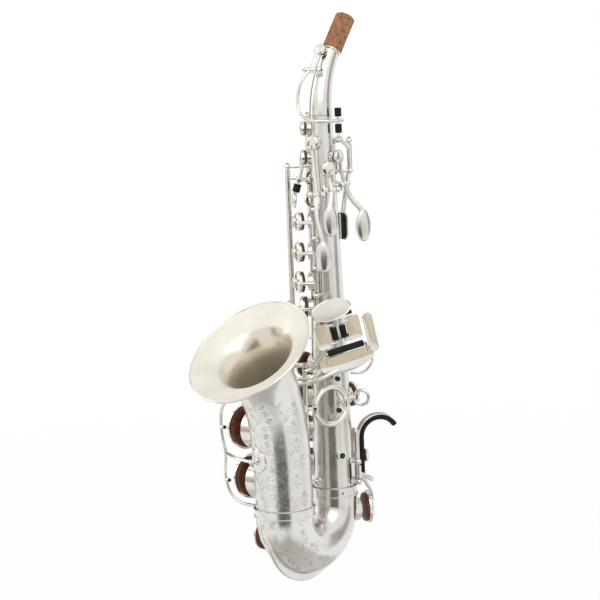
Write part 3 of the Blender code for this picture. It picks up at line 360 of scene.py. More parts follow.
def make_bell_inside_with_painted_shade():
    """The bell's inside: satin silver at the lip and warm down the throat, with a painted shade that darkens it
    with depth.
    """
    made, tree, shader = nodes_of("bell_inside", (0.80, 0.76, 0.68), 0.3, 0.72)
    place = tree.nodes.new("ShaderNodeTexCoord")
    split = tree.nodes.new("ShaderNodeSeparateXYZ")
    mapping = tree.nodes.new("ShaderNodeMapping")
    mapping.inputs["Location"].default_value = metres((0, *BELL_RIM_CENTER)) * -1
    turn = tree.nodes.new("ShaderNodeMapping")
    turn.inputs["Rotation"].default_value = (math.radians(-BELL_RIM_TILT), 0.0, 0.0)
    tree.links.new(place.outputs["Object"], mapping.inputs["Vector"])
    tree.links.new(mapping.outputs["Vector"], turn.inputs["Vector"])
    tree.links.new(turn.outputs["Vector"], split.inputs["Vector"])
    depth = tree.nodes.new("ShaderNodeMapRange")
    depth.inputs["From Min"].default_value = -0.060
    depth.inputs["From Max"].default_value = 0.0
    tree.links.new(split.outputs["Z"], depth.inputs["Value"])
    # Painted shade: the stops darken the colour with depth down the throat, standing in for the shade of the deep
    # bore; the last stop is the lighter lip.
    stops = [
        (0.0, (0.80, 0.72, 0.58)),
        (0.45, (0.80, 0.735, 0.615)),
        (0.84, (0.79, 0.74, 0.645)),
        (0.885, (0.88, 0.865, 0.785)),
    ]
    tint = ramp(tree, depth.outputs["Result"], stops)
    cloud = noise(tree, 60.0, 5.0)
    stain = ramp(tree, cloud.outputs["Fac"], [(0.35, (0.92, 0.90, 0.87)), (0.65, (1.0, 1.0, 1.0))])
    mix = tree.nodes.new("ShaderNodeMix")
    mix.data_type = "RGBA"
    mix.blend_type = "MULTIPLY"
    mix.inputs[0].default_value = 0.8
    tree.links.new(tint.outputs["Color"], mix.inputs[6])
    tree.links.new(stain.outputs["Color"], mix.inputs[7])
    tree.links.new(mix.outputs[2], shader.inputs["Base Color"])
    level = tree.nodes.new("ShaderNodeMapRange")
    level.inputs["From Min"].default_value = 0.85
    level.inputs["From Max"].default_value = 0.89
    level.inputs["To Min"].default_value = 0.22
    level.inputs["To Max"].default_value = 0.58
    tree.links.new(depth.outputs["Result"], level.inputs["Value"])
    tree.links.new(level.outputs["Result"], shader.inputs["Roughness"])
    fine = noise(tree, 5200.0, 3.0, 0.7)
    bumped(tree, shader, fine.outputs["Fac"], 0.2, 0.00002)
    return made


def make_leather():
    """Dark red-brown pad skin with a fine grain and paler rubbed patches."""
    made, tree, shader = nodes_of("pad_skin", (0.12, 0.032, 0.016), 0.5, 0.0)
    cloud = noise(tree, 260.0, 6.0)
    stops = [(0.32, (0.075, 0.018, 0.008)), (0.55, (0.16, 0.044, 0.019)), (0.75, (0.25, 0.088, 0.042))]
    tint = ramp(tree, cloud.outputs["Fac"], stops)
    tree.links.new(tint.outputs["Color"], shader.inputs["Base Color"])
    cells = tree.nodes.new("ShaderNodeTexVoronoi")
    cells.inputs["Scale"].default_value = 1500.0
    place = tree.nodes.new("ShaderNodeTexCoord")
    tree.links.new(place.outputs["Object"], cells.inputs["Vector"])
    bumped(tree, shader, cells.outputs["Distance"], 0.35, 0.00008)
    return made


def make_cork():
    """Pale brown cork with streaks and dark pits."""
    made, tree, shader = nodes_of("cork_grain", (0.40, 0.19, 0.09), 0.85, 0.0)
    cloud = noise(tree, 330.0, 6.0, 0.62, (1.0, 1.0, 0.55))
    stops = [(0.30, (0.22, 0.088, 0.040)), (0.50, (0.40, 0.185, 0.088)), (0.72, (0.52, 0.275, 0.145))]
    tint = ramp(tree, cloud.outputs["Fac"], stops)
    cells = tree.nodes.new("ShaderNodeTexVoronoi")
    cells.inputs["Scale"].default_value = 260.0
    place = tree.nodes.new("ShaderNodeTexCoord")
    tree.links.new(place.outputs["Object"], cells.inputs["Vector"])
    pits = ramp(tree, cells.outputs["Distance"], [(0.13, (0.10, 0.055, 0.035)), (0.24, (1.0, 1.0, 1.0))])
    mix = tree.nodes.new("ShaderNodeMix")
    mix.data_type = "RGBA"
    mix.blend_type = "MULTIPLY"
    mix.inputs[0].default_value = 0.85
    tree.links.new(tint.outputs["Color"], mix.inputs[6])
    tree.links.new(pits.outputs["Color"], mix.inputs[7])
    tree.links.new(mix.outputs[2], shader.inputs["Base Color"])
    bumped(tree, shader, pits.outputs["Color"], 0.5, 0.00025)
    return made


def plain(name, colour, other, roughness, scale, strength, distance=0.00005, shine=0.5):
    """A non-metal with uneven colour and a fine surface."""
    made, tree, shader = nodes_of(name, colour, roughness, 0.0)
    shader.inputs["Specular IOR Level"].default_value = shine
    cloud = noise(tree, scale, 5.0)
    tint = ramp(tree, cloud.outputs["Fac"], [(0.35, other), (0.65, colour)])
    tree.links.new(tint.outputs["Color"], shader.inputs["Base Color"])
    fine = noise(tree, scale * 6, 4.0, 0.7)
    bumped(tree, shader, fine.outputs["Fac"], strength, distance)
    return made


BLACK = plain("black_moulded", (0.012, 0.012, 0.013), (0.006, 0.006, 0.007), 0.34, 300.0, 0.12, shine=0.2)
FELT = plain("green_felt", (0.024, 0.10, 0.046), (0.012, 0.055, 0.026), 0.95, 900.0, 0.9, 0.0002, 0.15)
PEARL = plain("pearl", (0.84, 0.83, 0.79), (0.70, 0.72, 0.70), 0.18, 240.0, 0.05)
LEATHER = make_leather()
CORK = make_cork()


# Keeping shells as pieces

def mesh_of(name, shells):
    points, faces = [], []
    for shell_points, shell_faces in shells:
        first = len(points)
        points += [metres(point) for point in shell_points]
        faces += [tuple(first + index for index in face) for face in shell_faces]
    mesh = bpy.data.meshes.new(name)
    mesh.from_pydata(points, [], faces)
    bm = bmesh.new()
    bm.from_mesh(mesh)
    bmesh.ops.remove_doubles(bm, verts=bm.verts, dist=2e-6)
    bmesh.ops.recalc_face_normals(bm, faces=bm.faces)
    bm.to_mesh(mesh)
    bm.free()
    return mesh


def keep(name, mesh, finish, body, replaces=()):
    mesh.materials.clear()
    mesh.materials.append(finish)
    mesh.shade_smooth()
    mesh.set_sharp_from_angle(angle=math.radians(32))
    item = bpy.data.objects.new(name, mesh)
    bpy.context.scene.collection.objects.link(item)
    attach(item, body)
    if replaces:
        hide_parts(*replaces)
    return item


def add(name, shells, finish, body=ROOT, replaces=()):
    return keep(name, mesh_of(name, shells), finish, body, replaces)


def cut(mesh, shells):
    """A mesh less the closed shells, as a new mesh."""
    base = bpy.data.objects.new("base", mesh)
    bpy.context.scene.collection.objects.link(base)
    tools = []
    for shell in shells:
        tool = bpy.data.objects.new("tool", mesh_of("tool", [shell]))
        bpy.context.scene.collection.objects.link(tool)
        modifier = base.modifiers.new("cut", "BOOLEAN")
        modifier.operation = "DIFFERENCE"
        modifier.solver = "EXACT"
        modifier.object = tool
        tools.append(tool)
    depsgraph = bpy.context.evaluated_depsgraph_get()
    made = bpy.data.meshes.new_from_object(base.evaluated_get(depsgraph))
    for item in [base] + tools:
        bpy.data.objects.remove(item, do_unlink=True)
    return made


# Tubes

BODY_LOW = 56.3
BODY_HIGH = 334.0
BODY_LOW_RADIUS = 15.9
BODY_HIGH_RADIUS = 8.2
CHIMNEY_HEIGHT = 2.0

BOW_RADIUS = 28.0
BOW_CENTER_HEIGHT = 47.0
BOW_BODY_LEG_TOP = 56.0
BOW_BELL_LEG_TOP = 52.0
BOW_BODY_RADIUS = 16.2
BOW_BELL_RADIUS = 21.0

BELL_LOW = 52.3
BELL_RIM_CENTER = (-87.0, 173.5)
BELL_RIM_TILT = 40.0
BELL_RIM_RADIUS = 47.5
BELL_LIP = 7.0
BELL_TUBE_RADIUS = 21.0
BELL_FLARE_LENGTH = 8.0
BELL_LOW_HANDLE = 55.0
BELL_RIM_HANDLE = 45.0

NECK_LOW = 334.3
NECK_LEAD = 2.0
NECK_BEND_RADIUS = 74.0
NECK_TILT = 36.0
NECK_END_RADIUS = 6.0
CORK_LENGTH = 29.5
CORK_RADIUS = 7.3
NECK_ARC = NECK_BEND_RADIUS * math.radians(NECK_TILT)

UPPER_PADS = -50.0
UPPER_HINGE = (12.0, 16.2)
LOWER_PADS = -75.0
LOWER_HINGE = (-130.0, 21.0)

# The bell inside's material, with painted shade down the throat.
BELL_INSIDE_WITH_PAINTED_SHADE = make_bell_inside_with_painted_shade()

# Tone holes on the body tube: angle, height, hole radius, key cup radius
TONE_HOLES = {
    "b_key": (UPPER_PADS, 257.5, 4.6, 7.0),
    "a_key": (UPPER_PADS, 235.0, 5.2, 7.6),
    "g_key": (UPPER_PADS, 213.0, 5.8, 8.2),
    "g_sharp_key": (UPPER_PADS, 194.0, 6.0, 8.4),
    "f_key": (LOWER_PADS, 150.0, 7.0, 9.5),
    "e_key": (LOWER_PADS, 126.0, 7.6, 10.0),
    "d_key": (LOWER_PADS, 101.0, 8.2, 10.8),
    "eb_key": (LOWER_PADS, 76.0, 8.4, 11.0),
    "palm_d_key": (12.0, 315.0, 3.4, 5.2),
    "palm_eb_key": (58.0, 296.0, 3.6, 5.4),
    "palm_f_key": (98.0, 304.0, 3.4, 5.2),
    "front_f_key": (UPPER_PADS, 304.0, 3.8, 5.8),
    "side_e_key": (UPPER_PADS, 325.0, 3.4, 5.4),
    "side_c_key": (-100.0, 288.0, 3.8, 5.6),
    "side_bb_key": (-100.0, 272.0, 4.0, 5.6),
    "side_f_sharp_key": (165.0, 126.0, 6.0, 9.3),
}

# Large tone holes: centre on the tube's axis, way out, tube surface, seat, hole radius, cup radius
LOW_BB_HOLE = (Vector((0, -59.6, 111)), Vector((-1, 0, 0)), 21.0, 24.5, 13.2, 16.8)
LOW_B_HOLE = (Vector((0, -56.8, 73)), Vector((-1, 0, 0)), 21.0, 24.5, 13.2, 16.8)
LOW_C_SHARP_HOLE = (Vector((0, -50.2, 30)), Vector((-1, 0, 0)), 20.0, 23.0, 8.5, 11.8)
LOW_C_HOLE = (Vector((0, -0.9, 40)), polar(160.0, 1.0), 16.4, 19.0, 9.0, 12.4)


def body_radius(height):
    share = (height - BODY_LOW) / (BODY_HIGH - BODY_LOW)
    return BODY_LOW_RADIUS + share * (BODY_HIGH_RADIUS - BODY_LOW_RADIUS)


def chimney(base, way, surface, seat, hole):
    """A tone hole's raised rim, and the drill that opens the tube under it."""
    low = surface * 0.62
    height = seat - low
    outer = hole + WALL
    profile = [
        (0, hole), (0, outer), (height - 0.35, outer), (height, outer - 0.3), (height, hole + 0.2),
        (height - 0.2, hole),
    ]
    start = base + way * low
    across = way.orthogonal().normalized()
    other = way.cross(across)
    rings = []
    for along, radius in profile:
        ring = []
        for step in range(40):
            turn = 2 * math.pi * step / 40
            ring.append(start + way * along + radius * (math.cos(turn) * across + math.sin(turn) * other))
        rings.append(ring)
    drill = lathe(base + way * surface * 0.3, way, [(0, hole), (seat - surface * 0.3 + 5, hole)], 40)
    return loft(rings, True), drill


def two_skinned(points, outer, inner, sides):
    """A hollow tube: its outside and its inside joined at both ends."""
    ways = ways_along(points)
    across = Vector((1.0, 0.0, 0.0))
    skins = []
    for radii in (outer, inner):
        rings = []
        for point, way, radius in zip(points, ways, radii):
            other = way.cross(across)
            ring = []
            for step in range(sides):
                turn = 2 * math.pi * step / sides
                ring.append(point + radius * (math.cos(turn) * across + math.sin(turn) * other))
            rings.append(ring)
        skins.append(rings)
    return loft(skins[0] + skins[1][::-1], True)


def make_body():
    steps = 60
    points, outer = [], []
    for step in range(steps + 1):
        height = BODY_LOW + (BODY_HIGH - BODY_LOW) * step / steps
        points.append(Vector((0, 0, height)))
        outer.append(body_radius(height))
    tube = mesh_of("body_tube_shell", [two_skinned(points, outer, [r - WALL for r in outer], 56)])
    rims, drills = [], []
    for angle, height, hole, _ in TONE_HOLES.values():
        surface = body_radius(height)
        rim, drill = chimney(
            Vector((0, 0, height)), polar(angle, 1.0), surface, surface + CHIMNEY_HEIGHT, hole
        )
        rims.append(rim)
        drills.append(drill)
    keep("body_tube_shell", cut(tube, drills), SATIN, ROOT, ["body_tube"])
    add("body_tone_hole_rims", rims, SATIN)


def bow_path(steps=40):
    points, radii = [Vector((0, 0, BOW_BODY_LEG_TOP))], [BOW_BODY_RADIUS]
    for step in range(steps + 1):
        share = step / steps
        turn = math.pi * share
        y = -BOW_RADIUS * (1 - math.cos(turn))
        points.append(Vector((0, y, BOW_CENTER_HEIGHT - BOW_RADIUS * math.sin(turn))))
        radii.append(BOW_BODY_RADIUS + share * (BOW_BELL_RADIUS - BOW_BODY_RADIUS))
    points.append(Vector((0, -2 * BOW_RADIUS, BOW_BELL_LEG_TOP)))
    radii.append(BOW_BELL_RADIUS)
    return points, radii


def with_tone_holes(name, shell, tone_holes, node):
    rims, drills = [], []
    for base, way, surface, seat, hole, _ in tone_holes:
        rim, drill = chimney(base, way, surface, seat, hole)
        rims.append(rim)
        drills.append(drill)
    keep(name, cut(mesh_of(name, [shell]), drills), SATIN, ROOT, [node])
    add(node + "_tone_hole_rims", rims, SATIN)


def make_bow():
    points, radii = bow_path()
    shell = two_skinned(points, radii, [radius - WALL for radius in radii], 72)
    with_tone_holes("bow_shell", shell, [LOW_C_HOLE, LOW_C_SHARP_HOLE], "bow")


def bell_point(share):
    """A point of the bell's centreline, a cubic from the bow to the rim."""
    tilt = math.radians(BELL_RIM_TILT)
    start = Vector((0, -2 * BOW_RADIUS, BELL_LOW))
    end = Vector((0, *BELL_RIM_CENTER))
    facing = Vector((0, -math.sin(tilt), math.cos(tilt)))
    first = start + UP * BELL_LOW_HANDLE
    second = end - facing * BELL_RIM_HANDLE
    rest = 1 - share
    return (
        start * rest**3 + first * 3 * share * rest**2 + second * 3 * share**2 * rest + end * share**3
    )


def bell_path(steps=70):
    points = [bell_point(1 - (1 - step / steps) ** 1.8) for step in range(steps + 1)]
    left = 0.0
    radii = [0.0] * len(points)
    for index in range(steps, -1, -1):
        flare = (BELL_RIM_RADIUS - BELL_TUBE_RADIUS) * math.exp(-max(left, BELL_LIP) / BELL_FLARE_LENGTH)
        radii[index] = BELL_TUBE_RADIUS + flare
        if left < BELL_LIP:
            radii[index] += (BELL_RIM_RADIUS - radii[index]) * (1 - left / BELL_LIP)
        if index:
            left += (points[index] - points[index - 1]).length
    return points, radii


def make_bell():
    points, radii = bell_path()
    tilt = math.radians(BELL_RIM_TILT)
    facing = Vector((0, -math.sin(tilt), math.cos(tilt)))
    sides = 96
    across = ACROSS
    ways = ways_along(points)
    ways[-1] = facing
    outside, inside = [], []
    for point, way, radius in zip(points, ways, radii):
        other = way.cross(across)
        circle = [2 * math.pi * step / sides for step in range(sides)]
        steep = min(1.0, (radius - BELL_TUBE_RADIUS) / 12.0)
        lift = way * WALL * 0.9 * steep
        thin = WALL * (1 - 0.6 * steep)
        outside.append([point + radius * (math.cos(t) * across + math.sin(t) * other) for t in circle])
        inside.append(
            [point + lift + (radius - thin) * (math.cos(t) * across + math.sin(t) * other) for t in circle]
        )
    tube = loft(outside + inside[::-1], True)
    mesh = mesh_of("bell_shell", [tube])
    rims, drills = [], []
    for base, way, surface, seat, hole, _ in (LOW_BB_HOLE, LOW_B_HOLE):
        rim, drill = chimney(base, way, surface, seat, hole)
        rims.append(rim)
        drills.append(drill)
    item = keep("bell_shell", cut(mesh, drills), SATIN, ROOT, ["bell"])
    # Faces on the inside of the bell get the material with painted shade down the throat.
    item.data.materials.append(BELL_INSIDE_WITH_PAINTED_SHADE)
    for face in item.data.polygons:
        middle = face.center / MM + ORIGIN
        near = min(range(len(points)), key=lambda index: (points[index] - middle).length_squared)
        axis_way = ways[near]
        out = middle - points[near]
        out = out - axis_way * out.dot(axis_way)
        if face.normal.dot(out) < 0:
            face.material_index = 1
    add("bell_tone_hole_rims", rims, SATIN)
    rim_center = points[-1] - facing * 0.2
    up = facing.cross(across)
    add("bell_rolled_rim", [hoop(rim_center, across, up, BELL_RIM_RADIUS - 0.55, 0.95, 1.0, 120)], POLISHED)


ENGRAVING_TURNS = (math.radians(-98.0), math.radians(-38.0))
ENGRAVING_LOW = -46.0
ENGRAVING_HIGH = 92.0
ENGRAVING_SWAY = 3.0
ENGRAVING_WAVE = 34.0
ENGRAVED_WIDTH = 0.09


def tube_line():
    """The bow's and the bell's centreline with distances from their joint, ways and radii."""
    bow_points, bow_radii = bow_path()
    bell_points, bell_radii = bell_path()
    points = bow_points[:-1] + bell_points
    radii = bow_radii[:-1] + bell_radii
    places = [0.0]
    for before, after in zip(points, points[1:]):
        places.append(places[-1] + (after - before).length)
    joint = places[len(bow_points) - 1]
    return [place - joint for place in places], points, ways_along(points), radii


def volute(center, size, start, sense, turns=1.7, steps=36):
    """A scroll that winds inwards, as points of the flat drawing."""
    points = []
    for step in range(steps + 1):
        share = step / steps
        turn = start + sense * 2 * math.pi * turns * share
        reach = size * (1 - 0.86 * share)
        points.append((center[0] + reach * math.cos(turn), center[1] + reach * math.sin(turn)))
    return points


def leaf(base, heading, length, width, steps=9):
    """A leaf's two edges and midrib, as points of the flat drawing."""
    lines = []
    for side in (-1, 0, 1):
        line = []
        for step in range(steps + 1):
            share = step / steps
            along = length * share
            off = side * width * math.sin(math.pi * share) * (1 - 0.4 * share)
            x = base[0] + along * math.cos(heading) - off * math.sin(heading)
            y = base[1] + along * math.sin(heading) + off * math.cos(heading)
            line.append((x, y))
        lines.append(line)
    return lines


def engraving_lines():
    """A winding stem with scrolls and leaves, drawn flat in mm around and along the tube."""
    def stem(along):
        return ENGRAVING_SWAY * math.sin(2 * math.pi * along / ENGRAVING_WAVE)

    span = ENGRAVING_HIGH - ENGRAVING_LOW
    heights = [ENGRAVING_LOW + span * step / 100 for step in range(101)]
    lines = [[(stem(height), height) for height in heights]]
    side = 1
    for index in range(20):
        height = ENGRAVING_LOW + 3 + index * 6.8
        center = (stem(height) + side * 5.4, height)
        start = math.pi / 2 * (1 + side)
        lines.append(volute(center, 3.8, start, side))
        lines.append(volute((center[0] + side * 4.8, height + 3.4), 1.9, start, -side, 1.3, 20))
        for lean in (-0.8, -0.3, 0.3, 0.8):
            heading = lean + (0.0 if side > 0 else math.pi)
            base = (center[0] + 4.0 * math.cos(heading), height + 4.0 * math.sin(heading))
            lines += leaf(base, heading, 3.6, 1.0, 6)
        lines += leaf((stem(height), height), math.pi / 2 + side * 0.9, 4.8, 1.2, 6)
        side = -side
    return lines


def make_engraving():
    places, points, ways, radii = tube_line()

    def on_skin(around, along, middle):
        after = next(index for index, place in enumerate(places) if place >= along)
        share = (along - places[after - 1]) / (places[after] - places[after - 1])
        point = points[after - 1].lerp(points[after], share)
        way = ways[after - 1].lerp(ways[after], share).normalized()
        radius = radii[after - 1] + (radii[after] - radii[after - 1]) * share
        other = way.cross(ACROSS)
        turn = middle + around / radius
        return point + (radius + 0.03) * (math.cos(turn) * ACROSS + math.sin(turn) * other)

    shells = []
    for middle in ENGRAVING_TURNS:
        for line in engraving_lines():
            shells.append(sweep([on_skin(*spot, middle) for spot in line], ENGRAVED_WIDTH, 4))
    add("bell_engraving", shells, ENGRAVED)


def neck_point(distance):
    """A point of the neck's centreline and the way it runs there."""
    bend = math.radians(NECK_TILT)
    turn = max(0.0, min(distance / NECK_BEND_RADIUS, bend))
    way = Vector((0, math.sin(turn), math.cos(turn)))
    y = NECK_BEND_RADIUS * (1 - math.cos(turn))
    z = NECK_LOW + NECK_LEAD + NECK_BEND_RADIUS * math.sin(turn)
    straight = max(0.0, distance - NECK_BEND_RADIUS * bend) + min(0.0, distance)
    return Vector((0, y, z)) + way * straight, way


PIP_DISTANCE = NECK_ARC - 5.0
PIP_HEIGHT = 8.2


def make_neck():
    steps = 30
    places = [-NECK_LEAD] + [NECK_ARC * step / steps for step in range(steps + 1)]
    places.append(NECK_ARC + CORK_LENGTH)
    radii = []
    for place in places:
        share = min(1.0, max(0.0, place / NECK_ARC))
        radii.append(BODY_HIGH_RADIUS + (NECK_END_RADIUS - BODY_HIGH_RADIUS) * share)
    points = [neck_point(place)[0] for place in places]
    shell = two_skinned(points, radii, [radius - WALL for radius in radii], 48)
    center, way = neck_point(PIP_DISTANCE)
    front = Vector((0, -way.z, way.y))
    pip = lathe(
        center + front * 4.0, front, [(0, 2.6), (2.6, 2.4), (3.0, 1.7), (PIP_HEIGHT - 4.0, 1.6)], 24
    )
    end, end_way = neck_point(NECK_ARC - 0.6)
    collar_high = lathe(end, end_way, [(0, 5.8), (0, 6.7), (0.3, 7.0), (1.1, 7.0), (1.4, 6.7), (1.4, 5.8)], 48)
    add("neck_tube_shell", [shell, pip, collar_high], SATIN, ROOT, ["neck_tube"])

    start, cork_way = neck_point(NECK_ARC + 1.0)
    length = CORK_LENGTH - 1.0
    inner = NECK_END_RADIUS + 0.05
    across = cork_way.orthogonal().normalized()
    other = cork_way.cross(across)
    profile = [(0, inner), (0, CORK_RADIUS - 0.5), (0.9, CORK_RADIUS)]
    profile += [(length * step / 12, CORK_RADIUS) for step in range(1, 12)]
    profile += [(length - 0.5, CORK_RADIUS), (length, CORK_RADIUS - 0.5), (length, inner)]
    rings = []
    for along, radius in profile:
        ring = []
        for step in range(48):
            turn = 2 * math.pi * step / 48
            uneven = 0.06 * math.sin(5 * turn + along) if radius == CORK_RADIUS else 0.0
            size = radius + uneven
            ring.append(start + cork_way * along + size * (math.cos(turn) * across + math.sin(turn) * other))
        rings.append(ring)
    add("neck_cork_sleeve", [loft(rings, True)], CORK, ROOT, ["neck_cork"])


def make_band(name, center, radius, half_height, node):
    """A connecting ring with two beads; its clamp screw is made with the other screws."""
    center = Vector(center)
    inner = radius + GAP * 0.3
    skin = radius + 0.8
    height = half_height
    profile = [(-height, inner), (-height, skin - 0.3)]
    for level in (-height + 0.8, height - 0.8):
        profile += [(level - 0.6, skin), (level - 0.4, skin + 0.6)]
        profile += [(level + 0.4, skin + 0.6), (level + 0.6, skin)]
    profile += [(height, skin - 0.3), (height, inner)]
    rings = []
    for along, size in profile:
        turns = [2 * math.pi * step / 72 for step in range(72)]
        rings.append([center + Vector((size * math.cos(t), size * math.sin(t), along)) for t in turns])
    add(name, [loft(rings, True)], SATIN, ROOT, [node])


def make_bow_guard():
    """A crescent plate along the outside of the bow's bottom, with softened edges."""
    steps = 40
    first, last = math.radians(18.0), math.radians(122.0)
    rings = []
    for step in range(steps + 1):
        share = step / steps
        turn = first + share * (last - first)
        surface = BOW_BELL_RADIUS + (BOW_BODY_RADIUS - BOW_BELL_RADIUS) * turn / math.pi
        inner = BOW_RADIUS + surface - 0.2
        outer = BOW_RADIUS + surface + 1.8 + 4.0 * math.sin(math.pi * share)
        rows = [(inner, 2.4), (inner + 0.8, 1.5), (outer - 0.6, 1.3), (outer, 0.6)]
        ring = []
        for reach, half in rows + [(reach, -half) for reach, half in rows[::-1]]:
            y = -BOW_RADIUS - math.cos(turn) * reach
            ring.append(Vector((half, y, BOW_CENTER_HEIGHT - math.sin(turn) * reach)))
        rings.append(ring)
    add("bow_guard_crescent", [loft(rings)], SATIN, ROOT, ["bow_guard"])


make_body()
make_bow()
make_bell()
make_engraving()
make_neck()
make_band("body_bow_band", (0, 0, 56.5), BOW_BODY_RADIUS, 4.0, "body_bow_ring")
make_band("bell_bow_band", (0, -2 * BOW_RADIUS, 52.0), BOW_BELL_RADIUS + 0.2, 3.5, "bell_bow_ring")
make_bow_guard()


# Shared keywork shapes

TUBE_RADIUS = 1.9
ARM_RADIUS = 1.2
BALL_RADIUS = 2.3
PAD_THICKNESS = 2.3
CUP_THICKNESS = 2.4
BIG_PAD_THICKNESS = 3.2
BIG_CUP_THICKNESS = 2.8
STACK_PAD_THICKNESS = 3.2
STACK_CUP_THICKNESS = 3.2
PEARL_RADIUS = 3.8
STACK_OPENING = 12.0
BELL_KEY_OPENING = 12.0
LOW_C_OPENING = 14.0
POST_CLEAR = BALL_RADIUS + GAP
ROD_RADIUS = 0.8
SPRING_RADIUS = 0.24

screws, springs, felts = [], [], []


def bar(points, radius=ARM_RADIUS, end_radius=None, flat=1.0, side=None):
    """A key's arm: a rounded path, tapered towards its end where an end radius is given."""
    path = eased(points)
    last = radius if end_radius is None else end_radius
    count = len(path) - 1
    radii = [radius + (last - radius) * index / count for index in range(count + 1)]
    return sweep(path, radii=radii, flat=flat, side=side)


def hinge_tube(start, end, radius=TUBE_RADIUS):
    """A key's hinge tube, with a narrow collar at each end."""
    length = (Vector(end) - Vector(start)).length
    collar = radius + 0.15
    profile = [
        (0, radius - 0.2), (0.15, collar), (1.2, collar), (1.35, radius), (length - 1.35, radius),
        (length - 1.2, collar), (length - 0.15, collar), (length, radius - 0.2),
    ]
    return lathe(start, Vector(end) - Vector(start), profile, 24)


def turned_post(foot, head, ball_radius=BALL_RADIUS):
    """A turned post: a round foot, a waisted stem and a ball."""
    foot, head = Vector(foot), Vector(head)
    length = max((head - foot).length, 2.4)
    profile = [(0, 2.5), (0.5, 2.5), (0.8, 2.0), (1.3, 1.35), (length * 0.7, 1.1), (length, 1.25)]
    return [lathe(foot, head - foot, profile, 22), ball(head, ball_radius)]


def post(angle, reach, height):
    """A post standing on the body tube, with its ball at the reach."""
    return turned_post(polar(angle, body_radius(height) + GAP, height), polar(angle, reach, height))


def rib_bar(angle, low, high, half_width=2.0, thickness=1.2):
    """A flat bar lying along the body tube."""
    stand = GAP + thickness / 2
    start = polar(angle, body_radius(low) + stand, low)
    end = polar(angle, body_radius(high) + stand, high)
    outline = rounded(half_width, (end - start).length / 2, half_width * 0.9)
    return slab(outline, plate_rows(thickness), (start + end) / 2, tangent(angle), end - start)


def body_foot(angle, height, radius=3.2):
    """A round foot soldered to the body tube."""
    surface = body_radius(height) - 0.4
    profile = [(0, radius), (1.3, radius), (1.8, radius - 0.5), (2.0, radius - 1.4)]
    return lathe(polar(angle, surface, height), polar(angle, 1.0), profile, 28)


def cup_and_pad(base, way, seat, radius, pad_thickness=PAD_THICKNESS, cup_thickness=CUP_THICKNESS, rim=0.5):
    """A domed cup and its pad, standing on a closed tone hole."""
    low = seat + GAP
    middle = low + pad_thickness
    skin = radius - rim
    pad_profile = [
        (0.12, 0.0), (0.0, skin * 0.6), (0.1, skin * 0.86), (0.4, skin * 0.96), (1.0, skin),
        (pad_thickness + 0.2, skin),
    ]
    pad = lathe(base + way * low, way, pad_profile, 44)
    cup_profile = [
        (-0.5 - rim * 0.6, skin + 0.05), (-0.5 - rim * 0.6, radius - 0.1), (-0.35, radius), (0.7, radius),
        (1.15, radius * 0.98), (1.55, radius * 0.93), (cup_thickness * 0.8, radius * 0.8),
        (cup_thickness * 0.93, radius * 0.5), (cup_thickness, 0.0),
    ]
    cup = lathe(base + way * middle, way, cup_profile, 44)
    return cup, pad, base + way * (middle + cup_thickness / 2), base + way * (middle + cup_thickness)


def pearl_holder(top, way):
    """A finger pearl's metal rim, and the pearl in it."""
    rim = PEARL_RADIUS + 0.5
    profile = [
        (-0.8, rim - 1.4), (0.4, rim - 1.2), (0.8, rim - 0.2), (1.1, rim), (1.7, rim),
        (1.9, rim - 0.2), (1.9, rim - 0.5), (1.5, PEARL_RADIUS - 0.1), (1.4, 0),
    ]
    pearl = [
        (1.2, PEARL_RADIUS - 0.05), (1.8, PEARL_RADIUS - 0.1), (2.05, PEARL_RADIUS * 0.8),
        (2.2, PEARL_RADIUS * 0.45), (2.25, 0),
    ]
    return lathe(top, way, profile, 32), lathe(top, way, pearl, 32)


def needle(start, end):
    """A needle spring: a thin wire, slightly bent."""
    start, end = Vector(start), Vector(end)
    middle = (start + end) / 2 + (end - start).orthogonal().normalized() * 0.3
    springs.append(sweep(eased([start, middle, end], 2), SPRING_RADIUS, 8))


# Stacks

UPPER_POSTS = (184.0, 204.0, 224.0, 246.0, 267.0)
LOWER_POSTS = (71.0, 88.0, 113.0, 138.0, 163.0)
EB_TOUCH = polar(-163.0, 27.0, 76.0)


def make_stack_carrier(name, hinge, bar_ends, heights):
    angle, reach = hinge
    shells = [rib_bar(angle, *bar_ends)]
    for height in heights:
        shells += post(angle, reach, height)
    low, high = heights[0] - 3.0, heights[-1] + 3.0
    add(name + "_posts", shells, POLISHED, ROOT, [name + "_rib"])
    ends = [rod(polar(angle, reach, low), polar(angle, reach, high), ROD_RADIUS)]
    ends += slotted_screw(polar(angle, reach, high - 0.9), UP, 1.5)
    ends += slotted_screw(polar(angle, reach, low + 0.9), -UP, 1.5)
    add(name + "_hinge_rod", ends, STEEL, ROOT, [name + "_rod"])
    out = polar(angle, 1.0)
    for below, above in zip(heights, heights[1:]):
        needle(polar(angle, reach, above) + out * 2.0, polar(angle, reach, (below + above) / 2 + 2) + out * 2.7)


def make_stack_key(name, hinge, low_post, high_post, opening, pearl=True, extra=()):
    """A key of either stack, built closed over its tone hole and then turned open."""
    angle, height, _, radius = TONE_HOLES[name]
    base, way = Vector((0, 0, height)), polar(angle, 1.0)
    seat = body_radius(height) + CHIMNEY_HEIGHT
    cup, pad, middle, top = cup_and_pad(base, way, seat, radius, STACK_PAD_THICKNESS, STACK_CUP_THICKNESS)
    pivot = polar(*hinge, height)
    side = tangent(angle)
    side = side if side.dot(pivot) > 0 else -side
    corner = middle + side * (radius + 2.2)
    spine = [pivot, corner, top - way * 0.3 + side * radius * 0.4, top - way * 0.2]
    tube = hinge_tube(polar(*hinge, low_post + POST_CLEAR), polar(*hinge, high_post - POST_CLEAR))
    shells = [cup, bar(spine, 1.4, 1.0), tube, *extra]
    if pearl:
        rim, face = pearl_holder(top, way)
        shells.append(rim)
        add(name + "_pearl", turned([face], pivot, opening), PEARL, name)
    add(name + "_plated", turned(shells, pivot, opening), POLISHED, name, [name])
    add(name + "_pad", turned([pad], pivot, opening), LEATHER, name)


